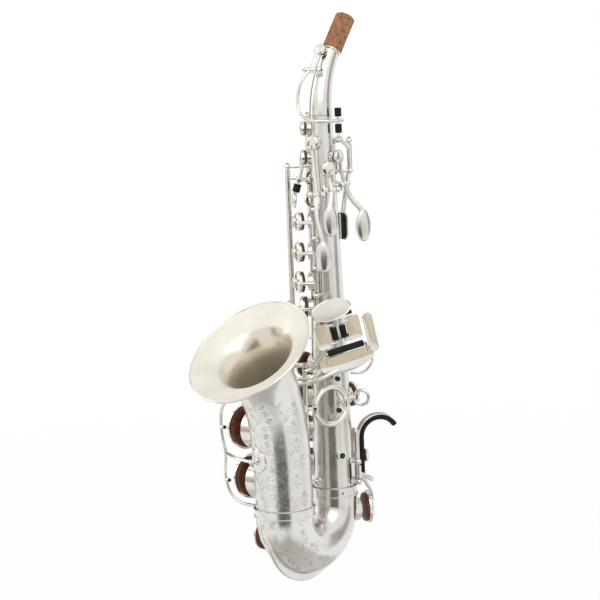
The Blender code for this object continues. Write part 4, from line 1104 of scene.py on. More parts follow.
def make_stacks():
    make_stack_carrier("upper_stack", UPPER_HINGE, (181.0, 270.0), UPPER_POSTS)
    for index, name in enumerate(("g_sharp_key", "g_key", "a_key", "b_key")):
        closed = name == "g_sharp_key"
        opening = 0.0 if closed else STACK_OPENING
        make_stack_key(name, UPPER_HINGE, UPPER_POSTS[index], UPPER_POSTS[index + 1], opening, not closed)

    make_stack_carrier("lower_stack", LOWER_HINGE, (69.0, 165.0), LOWER_POSTS)
    eb_touch = [
        spoon(EB_TOUCH, tangent(-163.0), UP, 4.5, 7.5, 2.6, 0.2),
        bar([polar(*LOWER_HINGE, 76.0), polar(-147.0, 25.0, 76.0), EB_TOUCH], 1.3),
    ]
    for index, name in enumerate(("eb_key", "d_key", "e_key", "f_key")):
        closed = name == "eb_key"
        opening = 0.0 if closed else -STACK_OPENING
        extra = eb_touch if closed else []
        make_stack_key(
            name, LOWER_HINGE, LOWER_POSTS[index], LOWER_POSTS[index + 1], opening, not closed, extra
        )


# Rocking keys: the pad above a level hinge, the finger touch below it

ROCKER_HALF = 2.4

# Angle, reach and height of the hinge, the arm's knee and the touch, the way the touch faces,
# and the touch's half sizes
ROCKERS = {
    "palm_d_key": ((24.0, 17.0, 278.0), (22.5, 20.3, 262.0), (36.0, 22.5, 233.0), 36.0, (6.0, 11.5)),
    "palm_eb_key": ((62.0, 17.0, 281.0), (57.0, 20.0, 271.0), (53.0, 21.8, 259.0), 53.0, (5.5, 11.5)),
    "palm_f_key": ((104.0, 17.5, 284.0), (108.0, 20.5, 274.0), (112.0, 30.0, 254.0), 62.0, (6.0, 12.0)),
    "front_f_key": ((-50.0, 17.5, 288.0), (-50.0, 20.5, 278.0), (-50.0, 21.5, 273.0), -50.0, (4.0, 6.0)),
}

# Start and end radius of the arm to the touch, and how flat it is
ROCKER_ARMS = {
    "palm_d_key": (1.7, 1.6, 0.6),
    "palm_eb_key": (2.0, 1.8, 0.5),
    "palm_f_key": (2.0, 2.4, 0.9),
    "front_f_key": (1.5, 1.3, 0.7),
}


def make_rocker_key(name):
    angle, height, _, radius = TONE_HOLES[name]
    hinge, bend, reach, facing, (half_width, half_height) = ROCKERS[name]
    base, way = Vector((0, 0, height)), polar(angle, 1.0)
    cup, pad, middle, top = cup_and_pad(base, way, body_radius(height) + CHIMNEY_HEIGHT, radius)
    pivot = polar(*hinge)
    along = tangent(hinge[0])
    touch = polar(*reach)
    shoulder = middle - UP * (radius + 1.5)
    behind = touch - polar(facing, 1.2)
    arm = [pivot, polar(*bend), behind + UP * half_height * 0.9, behind + UP * half_height * 0.4]
    shells = [
        cup,
        bar([pivot, shoulder, top - way * 0.3 - UP * radius * 0.4, top - way * 0.3], 1.5, 1.1),
        bar(arm, *ROCKER_ARMS[name], along),
        hinge_tube(pivot - along * ROCKER_HALF, pivot + along * ROCKER_HALF),
    ]
    add(name + "_plated", shells, POLISHED, name, [name])
    touch_shell = spoon(touch, tangent(facing), UP, half_width, half_height, 3.2, 0.2, 0.9)
    add(name + "_spoon", [touch_shell], SATIN, name)
    add(name + "_pad", [pad], LEATHER, name)


def rocker_posts(name):
    """The two posts at the ends of a rocking key's hinge, with their screws."""
    angle, reach, height = ROCKERS[name][0]
    shells = []
    for side in (-1, 1):
        way = tangent(angle) * side
        end = polar(angle, reach, height) + way * (ROCKER_HALF + POST_CLEAR)
        turn = math.degrees(math.atan2(end.x, -end.y))
        shells += turned_post(polar(turn, body_radius(height) + 1.0, height), end)
        screws.extend(slotted_screw(end + way * (BALL_RADIUS - 0.35), way, 1.1))
    return shells


def band_arc(first, last, height, steps=24):
    """A flattened bar lying round part of the body tube."""
    points = []
    for step in range(steps + 1):
        share = step / steps
        level = height[0] + share * (height[1] - height[0])
        angle = first + share * (last - first)
        points.append(polar(angle, body_radius(level) + 1.3, level))
    return sweep(points, 1.6, side=UP, flat=0.62)


def make_palm_keys():
    shells = [band_arc(4.0, 124.0, (277.0, 285.0))]
    for name in ("palm_d_key", "palm_eb_key", "palm_f_key"):
        shells += rocker_posts(name)
    add("palm_key_posts", shells, POLISHED, ROOT, ["palm_key_rib"])
    front = [band_arc(UPPER_PADS - 20.0, UPPER_PADS + 20.0, (288.0, 288.0))]
    front += rocker_posts("front_f_key")
    add("front_f_posts", front, POLISHED, ROOT, ["front_f_rib"])
    for name in ROCKERS:
        make_rocker_key(name)
    sleeve = [(0, 1.2), (0, 2.5), (0.3, 2.8), (5.7, 2.8), (6.0, 2.5), (6.0, 1.2)]
    place = polar(*ROCKERS["front_f_key"][1])
    way = polar(*ROCKERS["front_f_key"][0]) - place
    add("front_f_sleeve", [lathe(place + way * 0.1, way, sleeve, 28)], BLACK, "front_f_key")


make_stacks()
make_palm_keys()


# Low keys: long rods between the bell and the body, worked from the left-hand table

LOW_BB_ROD = Vector((-18.0, -35.0, 0.0))
LOW_B_ROD = Vector((-11.0, -30.0, 0.0))
C_SHARP_ROD = Vector((-3.0, -25.0, 0.0))
LOW_BRACKET = 65.5
HIGH_BRACKET = 153.5
BRACKET_RADIUS = 1.8
TABLE_ANGLE = 60.0
TABLE_REACH = 32.0
TABLE_ROLL = 12.0
TABLE_HEIGHT = 170.0
TABLE_PLATE = 1.6
ROLLER_RADIUS = 2.4


def at(place, height):
    return place + UP * height


TABLE_RIGHT = tangent(TABLE_ANGLE) * math.cos(math.radians(TABLE_ROLL)) + UP * math.sin(math.radians(TABLE_ROLL))
TABLE_UP = UP * math.cos(math.radians(TABLE_ROLL)) - tangent(TABLE_ANGLE) * math.sin(math.radians(TABLE_ROLL))


def table_point(along, rise, out=0.0):
    """A point of the left-hand table's plane, from its middle."""
    return polar(TABLE_ANGLE, TABLE_REACH + out, TABLE_HEIGHT) + TABLE_RIGHT * along + TABLE_UP * rise


def table_plate(outline, along, rise, out=0.0, dish=0.2, bow=0.0):
    rows = plate_rows(TABLE_PLATE, 0.4, dish)
    return slab(outline, rows, table_point(along, rise, out), TABLE_RIGHT, TABLE_UP, bow)


def make_low_brackets():
    for name, height in (("low_key_lower_bracket", LOW_BRACKET), ("low_key_upper_bracket", HIGH_BRACKET)):
        foot = polar(-7.0, body_radius(height) + 0.5, height)
        route = [at(LOW_BB_ROD, height), at(LOW_B_ROD, height), at(C_SHARP_ROD, height), foot]
        shells = [bar(route, BRACKET_RADIUS), body_foot(-7.0, height)]
        outward = UP if height == HIGH_BRACKET else -UP
        for place in (LOW_BB_ROD, LOW_B_ROD, C_SHARP_ROD):
            drum = [(-BRACKET_RADIUS, 1.9), (-BRACKET_RADIUS + 0.2, 2.2), (1.6, 2.2), (1.8, 1.9)]
            shells.append(lathe(at(place, height), outward, drum, 24))
            screws.extend(slotted_screw(at(place, height) + outward * 1.6, outward, 1.4))
        add(name + "_plated", shells, POLISHED, ROOT, [name])


def rod_tube(place):
    """A low key's long tube, held between the two brackets."""
    clear = BRACKET_RADIUS + GAP
    return hinge_tube(at(place, LOW_BRACKET + clear), at(place, HIGH_BRACKET - clear))


def big_cup_and_pad(hole):
    base, way, _, seat, _, radius = hole
    cup, pad, middle, top = cup_and_pad(
        base, way, seat, radius, BIG_PAD_THICKNESS + GAP, BIG_CUP_THICKNESS, 1.6
    )
    return cup, pad, middle, top - way * 0.3


def make_bell_key(name, hole, place, route, touch):
    """A low B or B-flat key: touch plate, long tube and cup in one, and its pad."""
    cup, pad, middle, top = big_cup_and_pad(hole)
    pivot = at(place, middle.z)
    path = [pivot] + [Vector((*knee, middle.z)) for knee in route] + [top]
    shells = turned([cup, bar(path, 1.7, 1.3, 0.8, UP)], pivot, -BELL_KEY_OPENING)
    add(name + "_key_plated", shells + [rod_tube(place)] + touch, POLISHED, name + "_key", [name + "_key"])
    pad_shells = turned([pad], pivot, -BELL_KEY_OPENING)
    add(name + "_pad_skin", pad_shells, LEATHER, name + "_key", [name + "_pad"])


# Rollers' ends in the table's plane: along and rise
ROLLERS = {
    "table_roller_c_sharp": ((-4.9, 5.0), (-4.9, 14.5)),
    "table_roller_b": ((2.0, 5.0), (2.0, 14.5)),
    "table_roller_bb": ((-13.3, -3.07), (14.7, -3.07)),
}


def roller_ears(name, side):
    """Two stub arms and the pin that hold a roller, from a plate on the given side of it."""
    (low_along, low), (high_along, high) = ROLLERS[name]
    clear = GAP + 1.6
    if side:
        ends = ((low_along, low - clear), (high_along, high + clear))
        ears = [bar([table_point(x + side * 5.0, y), table_point(x, y)], 1.1) for x, y in ends]
    else:
        ends = ((low_along - clear, low), (high_along + clear, high))
        ears = [bar([table_point(x, y - 7.0), table_point(x, y)], 1.1) for x, y in ends]
    first, second = (table_point(*end) for end in ends)
    return ears + [rod(first, second, 0.7, 12)]


def low_bb_touch():
    """The lowest plate of the table, with its raised bar on the right."""
    arm = [at(LOW_BB_ROD, 141), (-7, -38, 141), (11, -37.5, 142), table_point(-9, -17, -0.3)]
    rows = plate_rows(TABLE_PLATE, 0.4, 0.25)
    plate = slab(d_outline(21.5, 7.2), rows, table_point(-0.5, -13.4), TABLE_RIGHT, TABLE_UP)
    points, faces = plate
    out = polar(TABLE_ANGLE, 1.0)
    crease = table_point(0.0, -13.8)
    bent = []
    for point in points:
        below = max(0.0, (crease - point).dot(TABLE_UP))
        bent.append(point - out * below * 0.35)
    upright = table_plate(rounded(3.6, 14.6, 3.0), 21.8, 3.0, 0.8, 0.3)
    wire = [
        table_point(15, -12, -1.4), table_point(19, -14, -2.6), table_point(20.5, -20, -4.5),
        table_point(12, -27, -7.5), table_point(3, -24, -9.5),
    ]
    stop = [bar(wire, 1.0), bar([table_point(13.5, -11.5, -1.4), table_point(18, -12.2, -1.6)], 1.8)]
    return [(bent, faces), upright, bar(arm, 1.5)] + stop + roller_ears("table_roller_bb", 0)


def low_b_touch():
    arm = [
        at(LOW_B_ROD, 144.5), (-2, -33, 144.5), (6, -30, 145), (9, -20.5, 149.5), (12, -17, 160),
        table_point(-3.3, 3.8, -8.0), table_point(9.5, 6.0, -0.3),
    ]
    return [table_plate(rounded(5.2, 8.8, 2.0), 10.4, 10.2), bar(arm, 1.5)] + roller_ears("table_roller_b", 1)


def c_sharp_touch():
    arm = [at(C_SHARP_ROD, 149.2), (6, -25, 151), (9.5, -25, 161), table_point(-14.9, 4.2, -0.3)]
    plate = table_plate(rounded(5.6, 9.4, 2.5), -13.7, 9.7)
    return [plate, bar(arm, 1.5)] + roller_ears("table_roller_c_sharp", -1)


C_SHARP_PIVOT = Vector((-24.0, -33.0, 0.0))


def make_rollers():
    for name, (low, high) in ROLLERS.items():
        start, end = table_point(*low), table_point(*high)
        length = (end - start).length
        profile = [(0, 1.2), (0, 1.9), (0.15, 2.2), (0.5, ROLLER_RADIUS)]
        profile += [(length - 0.5, ROLLER_RADIUS), (length - 0.15, 2.2), (length, 1.9), (length, 1.2)]
        add(name + "_drum", [lathe(start, end - start, profile, 30)], BLACK, name, [name])


def make_c_sharp():
    """The low C-sharp lever, the key it lifts, and the saddle that carries that key."""
    tail = [at(C_SHARP_ROD, 72.0), (-9, -21, 69), (-13, -22, 58), (-19, -27.6, 48)]
    shells = [rod_tube(C_SHARP_ROD), bar(tail)] + c_sharp_touch()
    add("low_c_sharp_lever_plated", shells, POLISHED, "low_c_sharp_lever", ["low_c_sharp_lever"])

    base, way, _, seat, _, radius = LOW_C_SHARP_HOLE
    cup, pad, middle, top = cup_and_pad(base, way, seat, radius)
    low, high = at(C_SHARP_PIVOT, 34.0), at(C_SHARP_PIVOT, 50.0)
    shells = [
        cup,
        hinge_tube(low + UP * POST_CLEAR, high - UP * POST_CLEAR),
        bar([at(C_SHARP_PIVOT, 41.0), (-29, -37, 38), (-29, -42, 34), top - way * 0.3], 1.3, 1.0),
        bar([at(C_SHARP_PIVOT, 46.0), (-18, -31.6, 46)]),
    ]
    add("low_c_sharp_key_plated", shells, POLISHED, "low_c_sharp_key", ["low_c_sharp_key"])
    add("low_c_sharp_key_pad", [pad], LEATHER, "low_c_sharp_key")

    bow_axis = Vector((0, -55.6, 42.0))
    out = (at(C_SHARP_PIVOT, 42.0) - bow_axis).normalized()
    saddle = [lathe(bow_axis + out * 20.4, out, [(0, 4.0), (2.4, 4.0), (2.9, 3.4), (3.1, 2.0)], 28)]
    stand = bow_axis + out * 22.6
    for end, way in ((low, -UP), (high, UP)):
        knee = Vector((bow_axis.x, bow_axis.y, end.z)) + out * 27.0
        saddle += [bar([stand, knee, end], 1.3), ball(end, BALL_RADIUS)]
        screws.extend(slotted_screw(end + way * (BALL_RADIUS - 0.35), way, 1.1))
    add("c_sharp_saddle_posts", saddle, POLISHED, ROOT, ["c_sharp_saddle"])


def make_low_keys():
    make_low_brackets()
    make_bell_key("low_bb", LOW_BB_HOLE, LOW_BB_ROD, [(-29, -40), (-31, -48)], low_bb_touch())
    make_bell_key("low_b", LOW_B_HOLE, LOW_B_ROD, [(-20, -27), (-30, -38), (-31, -46)], low_b_touch())
    make_c_sharp()
    make_rollers()
    for place, end in ((LOW_BB_ROD, 96.0), (LOW_B_ROD, 92.0), (C_SHARP_ROD, 88.0)):
        needle(at(place, LOW_BRACKET) + Vector((1.6, -1.6, 1.5)), at(place, end) + Vector((1.6, -1.6, 0)))


G_SHARP_HINGE = ((-17.0, 190.0), (-5.0, 190.0))


def upright_point(along, height, out=0.0):
    """A point of the table's plane by its level distance and height."""
    return polar(TABLE_ANGLE, TABLE_REACH + out, height) + tangent(TABLE_ANGLE) * along


G_SHARP_LEAN = 0.1


def make_g_sharp_lever():
    """The oval G-sharp touch on a level hinge behind it, and the bracket on the body."""
    start, end = (upright_point(*place, -6.0) for place in G_SHARP_HINGE)
    along = (end - start).normalized()
    pivot = (start + end) / 2
    center = table_point(-3.4, 27.2)
    lean = (TABLE_UP - polar(TABLE_ANGLE, G_SHARP_LEAN)).normalized()
    rim = []
    for x, y in oval(15.0, 7.4):
        rim.append(center + TABLE_RIGHT * x + lean * y + polar(TABLE_ANGLE, 0.4))
    shells = [
        hinge_tube(start + along * POST_CLEAR, end - along * POST_CLEAR),
        bar([pivot, upright_point(-10.0, 197.0, -0.4)], 1.6),
        sweep(rim, 0.55, 10, closed=True),
    ]
    add("g_sharp_lever_plated", shells, POLISHED, "g_sharp_lever", ["g_sharp_lever"])
    touch = slab(oval(15.2, 7.6), plate_rows(TABLE_PLATE, 0.4, 0.35), center, TABLE_RIGHT, lean)
    add("g_sharp_touch", [touch], SATIN, "g_sharp_lever")
    pads = []
    for sideways, rise, half_width in ((-9.6, 21.0, 3.6), (8.6, 21.6, 3.4)):
        center = table_point(sideways, rise, -1.2)
        pads.append(slab(rounded(half_width, 1.5, 0.8), plate_rows(1.0, 0.2), center, TABLE_RIGHT, TABLE_UP))
    add("g_sharp_touch_felts", pads, FELT, "g_sharp_lever")

    foot = polar(38.0, body_radius(190.0) + 1.2, 190.0)
    bracket = [body_foot(38.0, 190.0)]
    for spot, way in ((start, -along), (end, along)):
        knee = spot - polar(TABLE_ANGLE, 5.0)
        bracket += [bar([foot, knee, spot], 1.4), ball(spot, BALL_RADIUS)]
        screws.extend(slotted_screw(spot + way * (BALL_RADIUS - 0.35), way, 1.1))
    add("g_sharp_posts", bracket, POLISHED, ROOT, ["g_sharp_bracket"])


make_low_keys()
make_g_sharp_lever()


# Side keys: long rods on the right-hand side, and the pad below the strap ring

SIDE_LOW_POST = 170.0

# Rod angle and reach, upper post height, and the touch's angle, reach and height
SIDE_KEYS = {
    "side_e_key": ((-112.0, 22.0), 333.0, (-122.0, 28.0, 205.0)),
    "side_c_key": ((-80.0, 30.0), 296.5, (-88.0, 36.0, 191.0)),
    "side_bb_key": ((-150.0, 22.0), 280.5, (-157.0, 28.0, 178.0)),
}
SIDE_ARM_KNEES = {"side_bb_key": [polar(-140.0, 15.5, 272.0)]}
OUTER_ROD_REACH = 25.0
SIDE_UPPER_RIB = -140.0


def closed_key(name, place, low, high, touch_place, knees=()):
    """A closed key on an upright rod: cup, arm, tube and side touch.

    An arm from an outer rod comes straight down on its cup, any other round the cup's side.
    """
    angle, height, _, radius = TONE_HOLES[name]
    base, way = Vector((0, 0, height)), polar(angle, 1.0)
    cup, pad, middle, top = cup_and_pad(base, way, body_radius(height) + CHIMNEY_HEIGHT, radius)
    pivot = polar(*place, height)
    side = tangent(angle)
    side = side if side.dot(pivot - middle) > 0 else -side
    corners = [] if place[1] > OUTER_ROD_REACH else [*knees, middle + side * (radius + 1.5)]
    touch_angle, _, touch_height = touch_place
    touch = polar(*touch_place)
    shells = [
        cup,
        hinge_tube(polar(*place, low + POST_CLEAR), polar(*place, high - POST_CLEAR)),
        bar([pivot, *corners, top - way * 0.3], 1.3, 1.0),
        bar([polar(*place, touch_height), touch], 1.4),
        spoon(touch, tangent(touch_angle), UP, 4.5, 6.0, 2.6, 0.1),
    ]
    add(name + "_plated", shells, POLISHED, name, [name])
    add(name + "_pad", [pad], LEATHER, name)
    out = polar(place[0], 1.0)
    needle(polar(*place, low + 1.5) + out * 2.2, polar(*place, low + 12.0) + out * 2.6)


def make_side_keys():
    low_rib = [band_arc(-153.0, -77.0, (SIDE_LOW_POST, SIDE_LOW_POST))]
    high_rib = [rib_bar(SIDE_UPPER_RIB, 277.0, 333.0)]
    for name, (place, high, touch_place) in SIDE_KEYS.items():
        low_rib += post(*place, SIDE_LOW_POST)
        foot = polar(SIDE_UPPER_RIB, body_radius(high) + 1.8, high - 1.5)
        knee = polar((SIDE_UPPER_RIB + place[0]) / 2, 16.0, high)
        high_rib += [bar([foot, knee, polar(*place, high)], 1.3), ball(polar(*place, high), BALL_RADIUS)]
        screws.extend(slotted_screw(polar(*place, high) + UP * (BALL_RADIUS - 0.35), UP, 1.1))
        closed_key(name, place, SIDE_LOW_POST, high, touch_place, SIDE_ARM_KNEES.get(name, ()))
    add("side_key_lower_posts", low_rib, POLISHED, ROOT, ["side_key_lower_rib"])
    add("side_key_upper_posts", high_rib, POLISHED, ROOT, ["side_key_upper_rib"])


F_SHARP_ROD = (-152.0, 21.0)
F_SHARP_POSTS = (117.0, 135.0)


def make_side_f_sharp():
    shells = [rib_bar(F_SHARP_ROD[0], F_SHARP_POSTS[0] - 2.0, F_SHARP_POSTS[1] + 2.0)]
    for height in F_SHARP_POSTS:
        shells += post(*F_SHARP_ROD, height)
    add("side_f_sharp_posts", shells, POLISHED, ROOT, ["side_f_sharp_rib"])
    closed_key("side_f_sharp_key", F_SHARP_ROD, *F_SHARP_POSTS, (-140.0, 28.0, 126.0))


# Low C: its rib on the left of the body, key and pad round the back of the bow

LOW_C_ROD = (100.0, 21.5)
LOW_C_POSTS = (64.0, 79.0)
LOW_C_TOUCH = (-125.0, 27.0, 61.5)


def make_low_c():
    shells = [rib_bar(LOW_C_ROD[0], LOW_C_POSTS[0] - 1.5, LOW_C_POSTS[1] + 1.5)]
    for height in LOW_C_POSTS:
        shells += post(*LOW_C_ROD, height)
    add("low_c_posts", shells, POLISHED, ROOT, ["low_c_rib"])

    cup, pad, middle, top = big_cup_and_pad(LOW_C_HOLE)
    low, high = (polar(*LOW_C_ROD, height) for height in LOW_C_POSTS)
    pivot = polar(*LOW_C_ROD, 71.0)
    touch = polar(*LOW_C_TOUCH)
    around = [polar(angle, 26.0, LOW_C_TOUCH[2]) for angle in (140.0, 170.0, 200.0, 222.0)]
    shells = [
        cup,
        hinge_tube(low + UP * POST_CLEAR, high - UP * POST_CLEAR),
        bar([pivot, polar(116.0, 25.5, 60.0), polar(136.0, 25.8, 50.0), top], 1.5, 1.2),
        bar([pivot, polar(116.0, 26.0, 66.0)] + around + [touch], 1.4),
        spoon(touch, tangent(LOW_C_TOUCH[0]), UP, 7.0, 4.5, 2.6, 0.1),
    ]
    opening = -LOW_C_OPENING
    add("low_c_key_plated", turned(shells, pivot, opening), POLISHED, "low_c_key", ["low_c_key"])
    add("low_c_pad_skin", turned([pad], pivot, opening), LEATHER, "low_c_key", ["low_c_pad"])


# Octave mechanism: thumb lever with its pin, and the key on the neck

OCTAVE_ROD = (136.0, 20.0)
OCTAVE_POSTS = (293.0, 315.0)
OCTAVE_PIN = Vector((14.3, 2.5, 0.0))
THUMB_PLATE = (170.0, 17.6, 252.0)
THUMB_REST = (200.0, 232.0)
NECK_HINGE_DISTANCE = 27.0
NECK_HINGE_REACH = 13.0
NECK_HINGE_HALF = 6.6


def make_octave_lever():
    low, high = (polar(*OCTAVE_ROD, height) for height in OCTAVE_POSTS)
    shells = [rib_bar(OCTAVE_ROD[0], OCTAVE_POSTS[0] - 2.0, OCTAVE_POSTS[1] + 2.0, 1.4)]
    for height in OCTAVE_POSTS:
        shells += post(*OCTAVE_ROD, height)
    add("octave_posts", shells, POLISHED, ROOT, ["octave_rib"])
    screws.extend(slotted_screw(high + UP * (BALL_RADIUS - 0.35), UP, 1.1))

    plate_center = polar(*THUMB_PLATE)
    side = tangent(THUMB_PLATE[0])
    arm = [polar(*OCTAVE_ROD, 303), polar(153, 22, 300), polar(167, 20.5, 278), plate_center + UP * 8]
    shells = [
        hinge_tube(low + UP * POST_CLEAR, high - UP * POST_CLEAR),
        rod(at(OCTAVE_PIN, 316.5), at(OCTAVE_PIN, 339.6), 1.0),
        lathe(at(OCTAVE_PIN, 315.6), UP, [(0, 2.4), (0.3, 2.8), (2.6, 2.8), (3.0, 2.2)], 28),
        bar([polar(*OCTAVE_ROD, 309), (16.4, 6.5, 313.5), at(OCTAVE_PIN, 317.5)], 1.4),
        bar(arm, 1.5, 2.0, 0.7),
        slab(rounded(5.0, 10.5, 4.0), plate_rows(1.8, 0.5, 0.5), plate_center, side, UP),
    ]
    add("octave_lever_plated", shells, POLISHED, "octave_lever", ["octave_lever"])
    sleeve = [(0, 1.1), (0, 2.2), (0.3, 2.5), (6.2, 2.5), (6.5, 2.2), (6.5, 1.1)]
    sleeves = [lathe(at(OCTAVE_PIN, 321.4), UP, sleeve, 26)]
    top_sleeve = [(0, 1.1), (0, 2.2), (0.3, 2.5), (5.9, 2.5), (6.3, 2.1), (6.4, 0.0)]
    sleeves.append(lathe(at(OCTAVE_PIN, 333.2), UP, top_sleeve, 26))
    add("octave_pin_sleeves", sleeves, BLACK, "octave_lever")

    pad_center = plate_center - polar(THUMB_PLATE[0], 1.6)
    pad = slab(rounded(5.3, 9.6, 3.4), plate_rows(1.6, 0.3), pad_center, side, UP)
    add("octave_plate_pad", [pad], BLACK, "octave_lever")
    spine_center = plate_center - polar(THUMB_PLATE[0], 2.5)
    spine = slab(rounded(1.0, 9.2, 0.8), plate_rows(0.6, 0.2), spine_center, side, UP)
    add("octave_plate_spine", [spine], POLISHED, "octave_lever")

    angle, height = THUMB_REST
    rest = polar(angle, body_radius(height) + GAP, height)
    out = polar(angle, 1.0)
    profile = [(0, 3.2), (1.4, 2.8), (2.0, 5.4), (2.5, 6.0), (3.4, 5.8), (4.2, 4.8), (4.6, 3.0), (4.7, 0.0)]
    add("thumb_rest_button", [lathe(rest, out, profile, 40)], BLACK, ROOT, ["thumb_rest"])


def make_neck_octave():
    center, way = neck_point(NECK_HINGE_DISTANCE)
    front = Vector((0, -way.z, way.y))
    hinge = center + front * NECK_HINGE_REACH
    side = Vector((1, 0, 0))
    ends = [(hinge - side * NECK_HINGE_HALF, -side), (hinge + side * NECK_HINGE_HALF, side)]
    saddle = [lathe(center + front * 6.4, front, [(0, 3.2), (1.9, 3.2), (2.4, 2.6), (2.7, 1.6)], 24)]
    for end, outward in ends:
        knee = end - front * 4.2
        saddle += [bar([center + front * 8.4, knee, end], 1.25), ball(end, 2.0)]
        screws.extend(slotted_screw(end + outward * 1.7, outward, 1.0))
    add("neck_octave_posts", saddle, POLISHED, ROOT, ["neck_octave_saddle"])

    clear = side * (2.0 + GAP)
    pip, pip_way = neck_point(PIP_DISTANCE)
    out = Vector((0, -pip_way.z, pip_way.y))
    cup, pad, middle, top = cup_and_pad(pip, out, PIP_HEIGHT, 4.4)
    loop = [
        hinge - side * 2.5, (-6, -13.5, 360), (-8.5, -14.8, 350), (-8.5, -15.2, 341), (-5, -16.5, 335),
        (2, -17, 331.6), (10, -14.5, 330.6), (16.5, -7, 330.5), (18.5, 2, 330.5),
    ]
    shells = [
        cup,
        hinge_tube(ends[0][0] + clear, ends[1][0] - clear, 1.7),
        bar([hinge, (hinge + top) / 2 + out * 0.8, top - out * 0.2], 1.7, 1.2, 0.7, side),
        bar(loop, 1.2),
        ball(loop[-1], 1.5),
    ]
    add("neck_octave_key_plated", shells, POLISHED, "neck_octave_key", ["neck_octave_key"])
    add("neck_octave_key_pad", [pad], LEATHER, "neck_octave_key")


# Thumb hook on its plate, strap ring, ring brace and key guard

THUMB_HOOK_ANGLE = 145.0
HOOK_LOW = 63.0
HOOK_BEND_HEIGHT = 94.5
HOOK_PLATE_HEIGHT = 81.2
HOOK_BEND_RADIUS = 14.5
HOOK_REACH = 21.2
HOOK_THICKNESS = 3.0
HOOK_HALF_WIDTH = 4.2
HOOK_END_TURN = 32.0


def hook_path(offset, end_turn, low=HOOK_LOW):
    """The hook's line from its foot round its bend, at an offset outside its middle."""
    path = [polar(THUMB_HOOK_ANGLE, HOOK_REACH - offset, height) for height in (low, low + 1.0, HOOK_BEND_HEIGHT)]
    radius = HOOK_BEND_RADIUS + offset
    steps = 40
    for step in range(1, steps + 1):
        turn = math.radians(180.0 - (180.0 - end_turn) * step / steps)
        reach = HOOK_REACH + HOOK_BEND_RADIUS + radius * math.cos(turn)
        path.append(polar(THUMB_HOOK_ANGLE, reach, HOOK_BEND_HEIGHT + radius * math.sin(turn)))
    return path


def strip(path, half_width, half_thickness, side):
    """A bar with a rounded rectangular section, swept along a path."""
    ways = ways_along(path)
    rings = []
    outline = rounded(half_width, half_thickness, half_thickness * 0.8, 4)
    for point, way in zip(path, ways):
        other = way.cross(side).normalized()
        rings.append([point + side * x + other * y for x, y in outline])
    return loft(rings)


def make_thumb_hook():
    angle = THUMB_HOOK_ANGLE
    side = tangent(angle)
    out = polar(angle, 1.0)
    inner, outer = 16.0, HOOK_REACH - HOOK_THICKNESS / 2 - GAP
    base_middle = polar(angle, (inner + outer - 1.2) / 2, HOOK_PLATE_HEIGHT)
    top_middle = polar(angle, outer - 0.9, HOOK_PLATE_HEIGHT + 1.5)
    shells = [
        slab(rounded(4.6, 20.0, 2.0), plate_rows(outer - inner - 1.2, 0.4), base_middle, side, UP),
        slab(rounded(4.0, 17.5, 1.6), plate_rows(1.8, 0.3), top_middle, side, UP),
    ]
    add("thumb_hook_plate_steps", shells, SATIN, ROOT, ["thumb_hook_plate"])

    hook = strip(hook_path(-0.4, HOOK_END_TURN), HOOK_HALF_WIDTH, HOOK_THICKNESS / 2 + 0.4, side)
    add("thumb_hook_moulding", [hook], BLACK, "thumb_hook", ["thumb_hook"])
    backing = strip(hook_path(HOOK_THICKNESS / 2 + 0.3, 58.0, HOOK_BEND_HEIGHT - 6.0)[2:], 3.6, 0.45, side)
    add("thumb_hook_backing", [backing], POLISHED, "thumb_hook")
    head = polar(angle, HOOK_REACH + HOOK_THICKNESS / 2 + 0.7, HOOK_PLATE_HEIGHT - 1.0)
    knurled = [(0, 2.2), (0.5, 2.4), (0.8, 4.6), (1.2, 5.0), (2.4, 5.0), (2.9, 4.6), (3.6, 3.4), (4.2, 0.0)]
    ring_points, ring_faces = lathe(head, out, knurled, 48)
    for index, point in enumerate(ring_points):
        place = head + out * (point - head).dot(out)
        if (point - place).length > 4.5 and index % 2:
            ring_points[index] = place + (point - place) * 0.955
    add("thumb_hook_screw", [(ring_points, ring_faces)], POLISHED, "thumb_hook")


def make_strap_ring():
    angle, reach, height = STRAP_RING
    out = polar(angle, 1.0)
    surface = body_radius(height)
    shells = [
        hoop(ORIGIN, out, UP, 5.4, 1.25),
        lathe(polar(angle, surface + 0.5, height), out, [(0, 2.6), (0.8, 2.2), (2.0, 1.8), (reach - 5.0 - surface, 1.7)], 24),
        body_foot(angle, height, 4.0),
    ]
    add("strap_ring_eye", shells, POLISHED, ROOT, ["strap_ring"])


BRACE_CENTER = Vector((18.0, -21.4, 125.0))
BRACE_RADIUS = 13.6
BRACE_ANGLE = 74.0


def make_bell_brace():
    along = tangent(BRACE_ANGLE)
    bell_axis = Vector((0, -61.7, 125.0))
    near, far = BRACE_CENTER - along * BRACE_RADIUS, BRACE_CENTER + along * BRACE_RADIUS
    out = (near - bell_axis).normalized()
    turn = math.degrees(math.atan2(far.x, -far.y))
    surface = body_radius(125.0)
    bell_foot = [(0, 3.8), (1.8, 3.8), (2.3, 3.2), (2.6, 2.2), (3.4, 1.7)]
    shells = [
        hoop(BRACE_CENTER, along, UP, BRACE_RADIUS, 2.05, 1.1),
        bar([near, bell_axis + out * 23.0], 1.5),
        lathe(bell_axis + out * 21.4, out, bell_foot, 28),
        ball(near, 2.8),
        bar([far, polar(turn, surface + 0.6, 125.0)], 1.5),
        ball(polar(turn, 21.0, 125.0), 2.7),
        body_foot(turn, 125.0),
    ]
    add("bell_brace_ring", shells, POLISHED, ROOT, ["bell_brace"])
    screws.extend(slotted_screw(near + polar(41.0, 2.5), polar(41.0, 1.0), 1.2))
    screws.extend(slotted_screw(polar(turn, 21.0, 125.0) + polar(60.0, 2.4), polar(60.0, 1.0), 1.3))


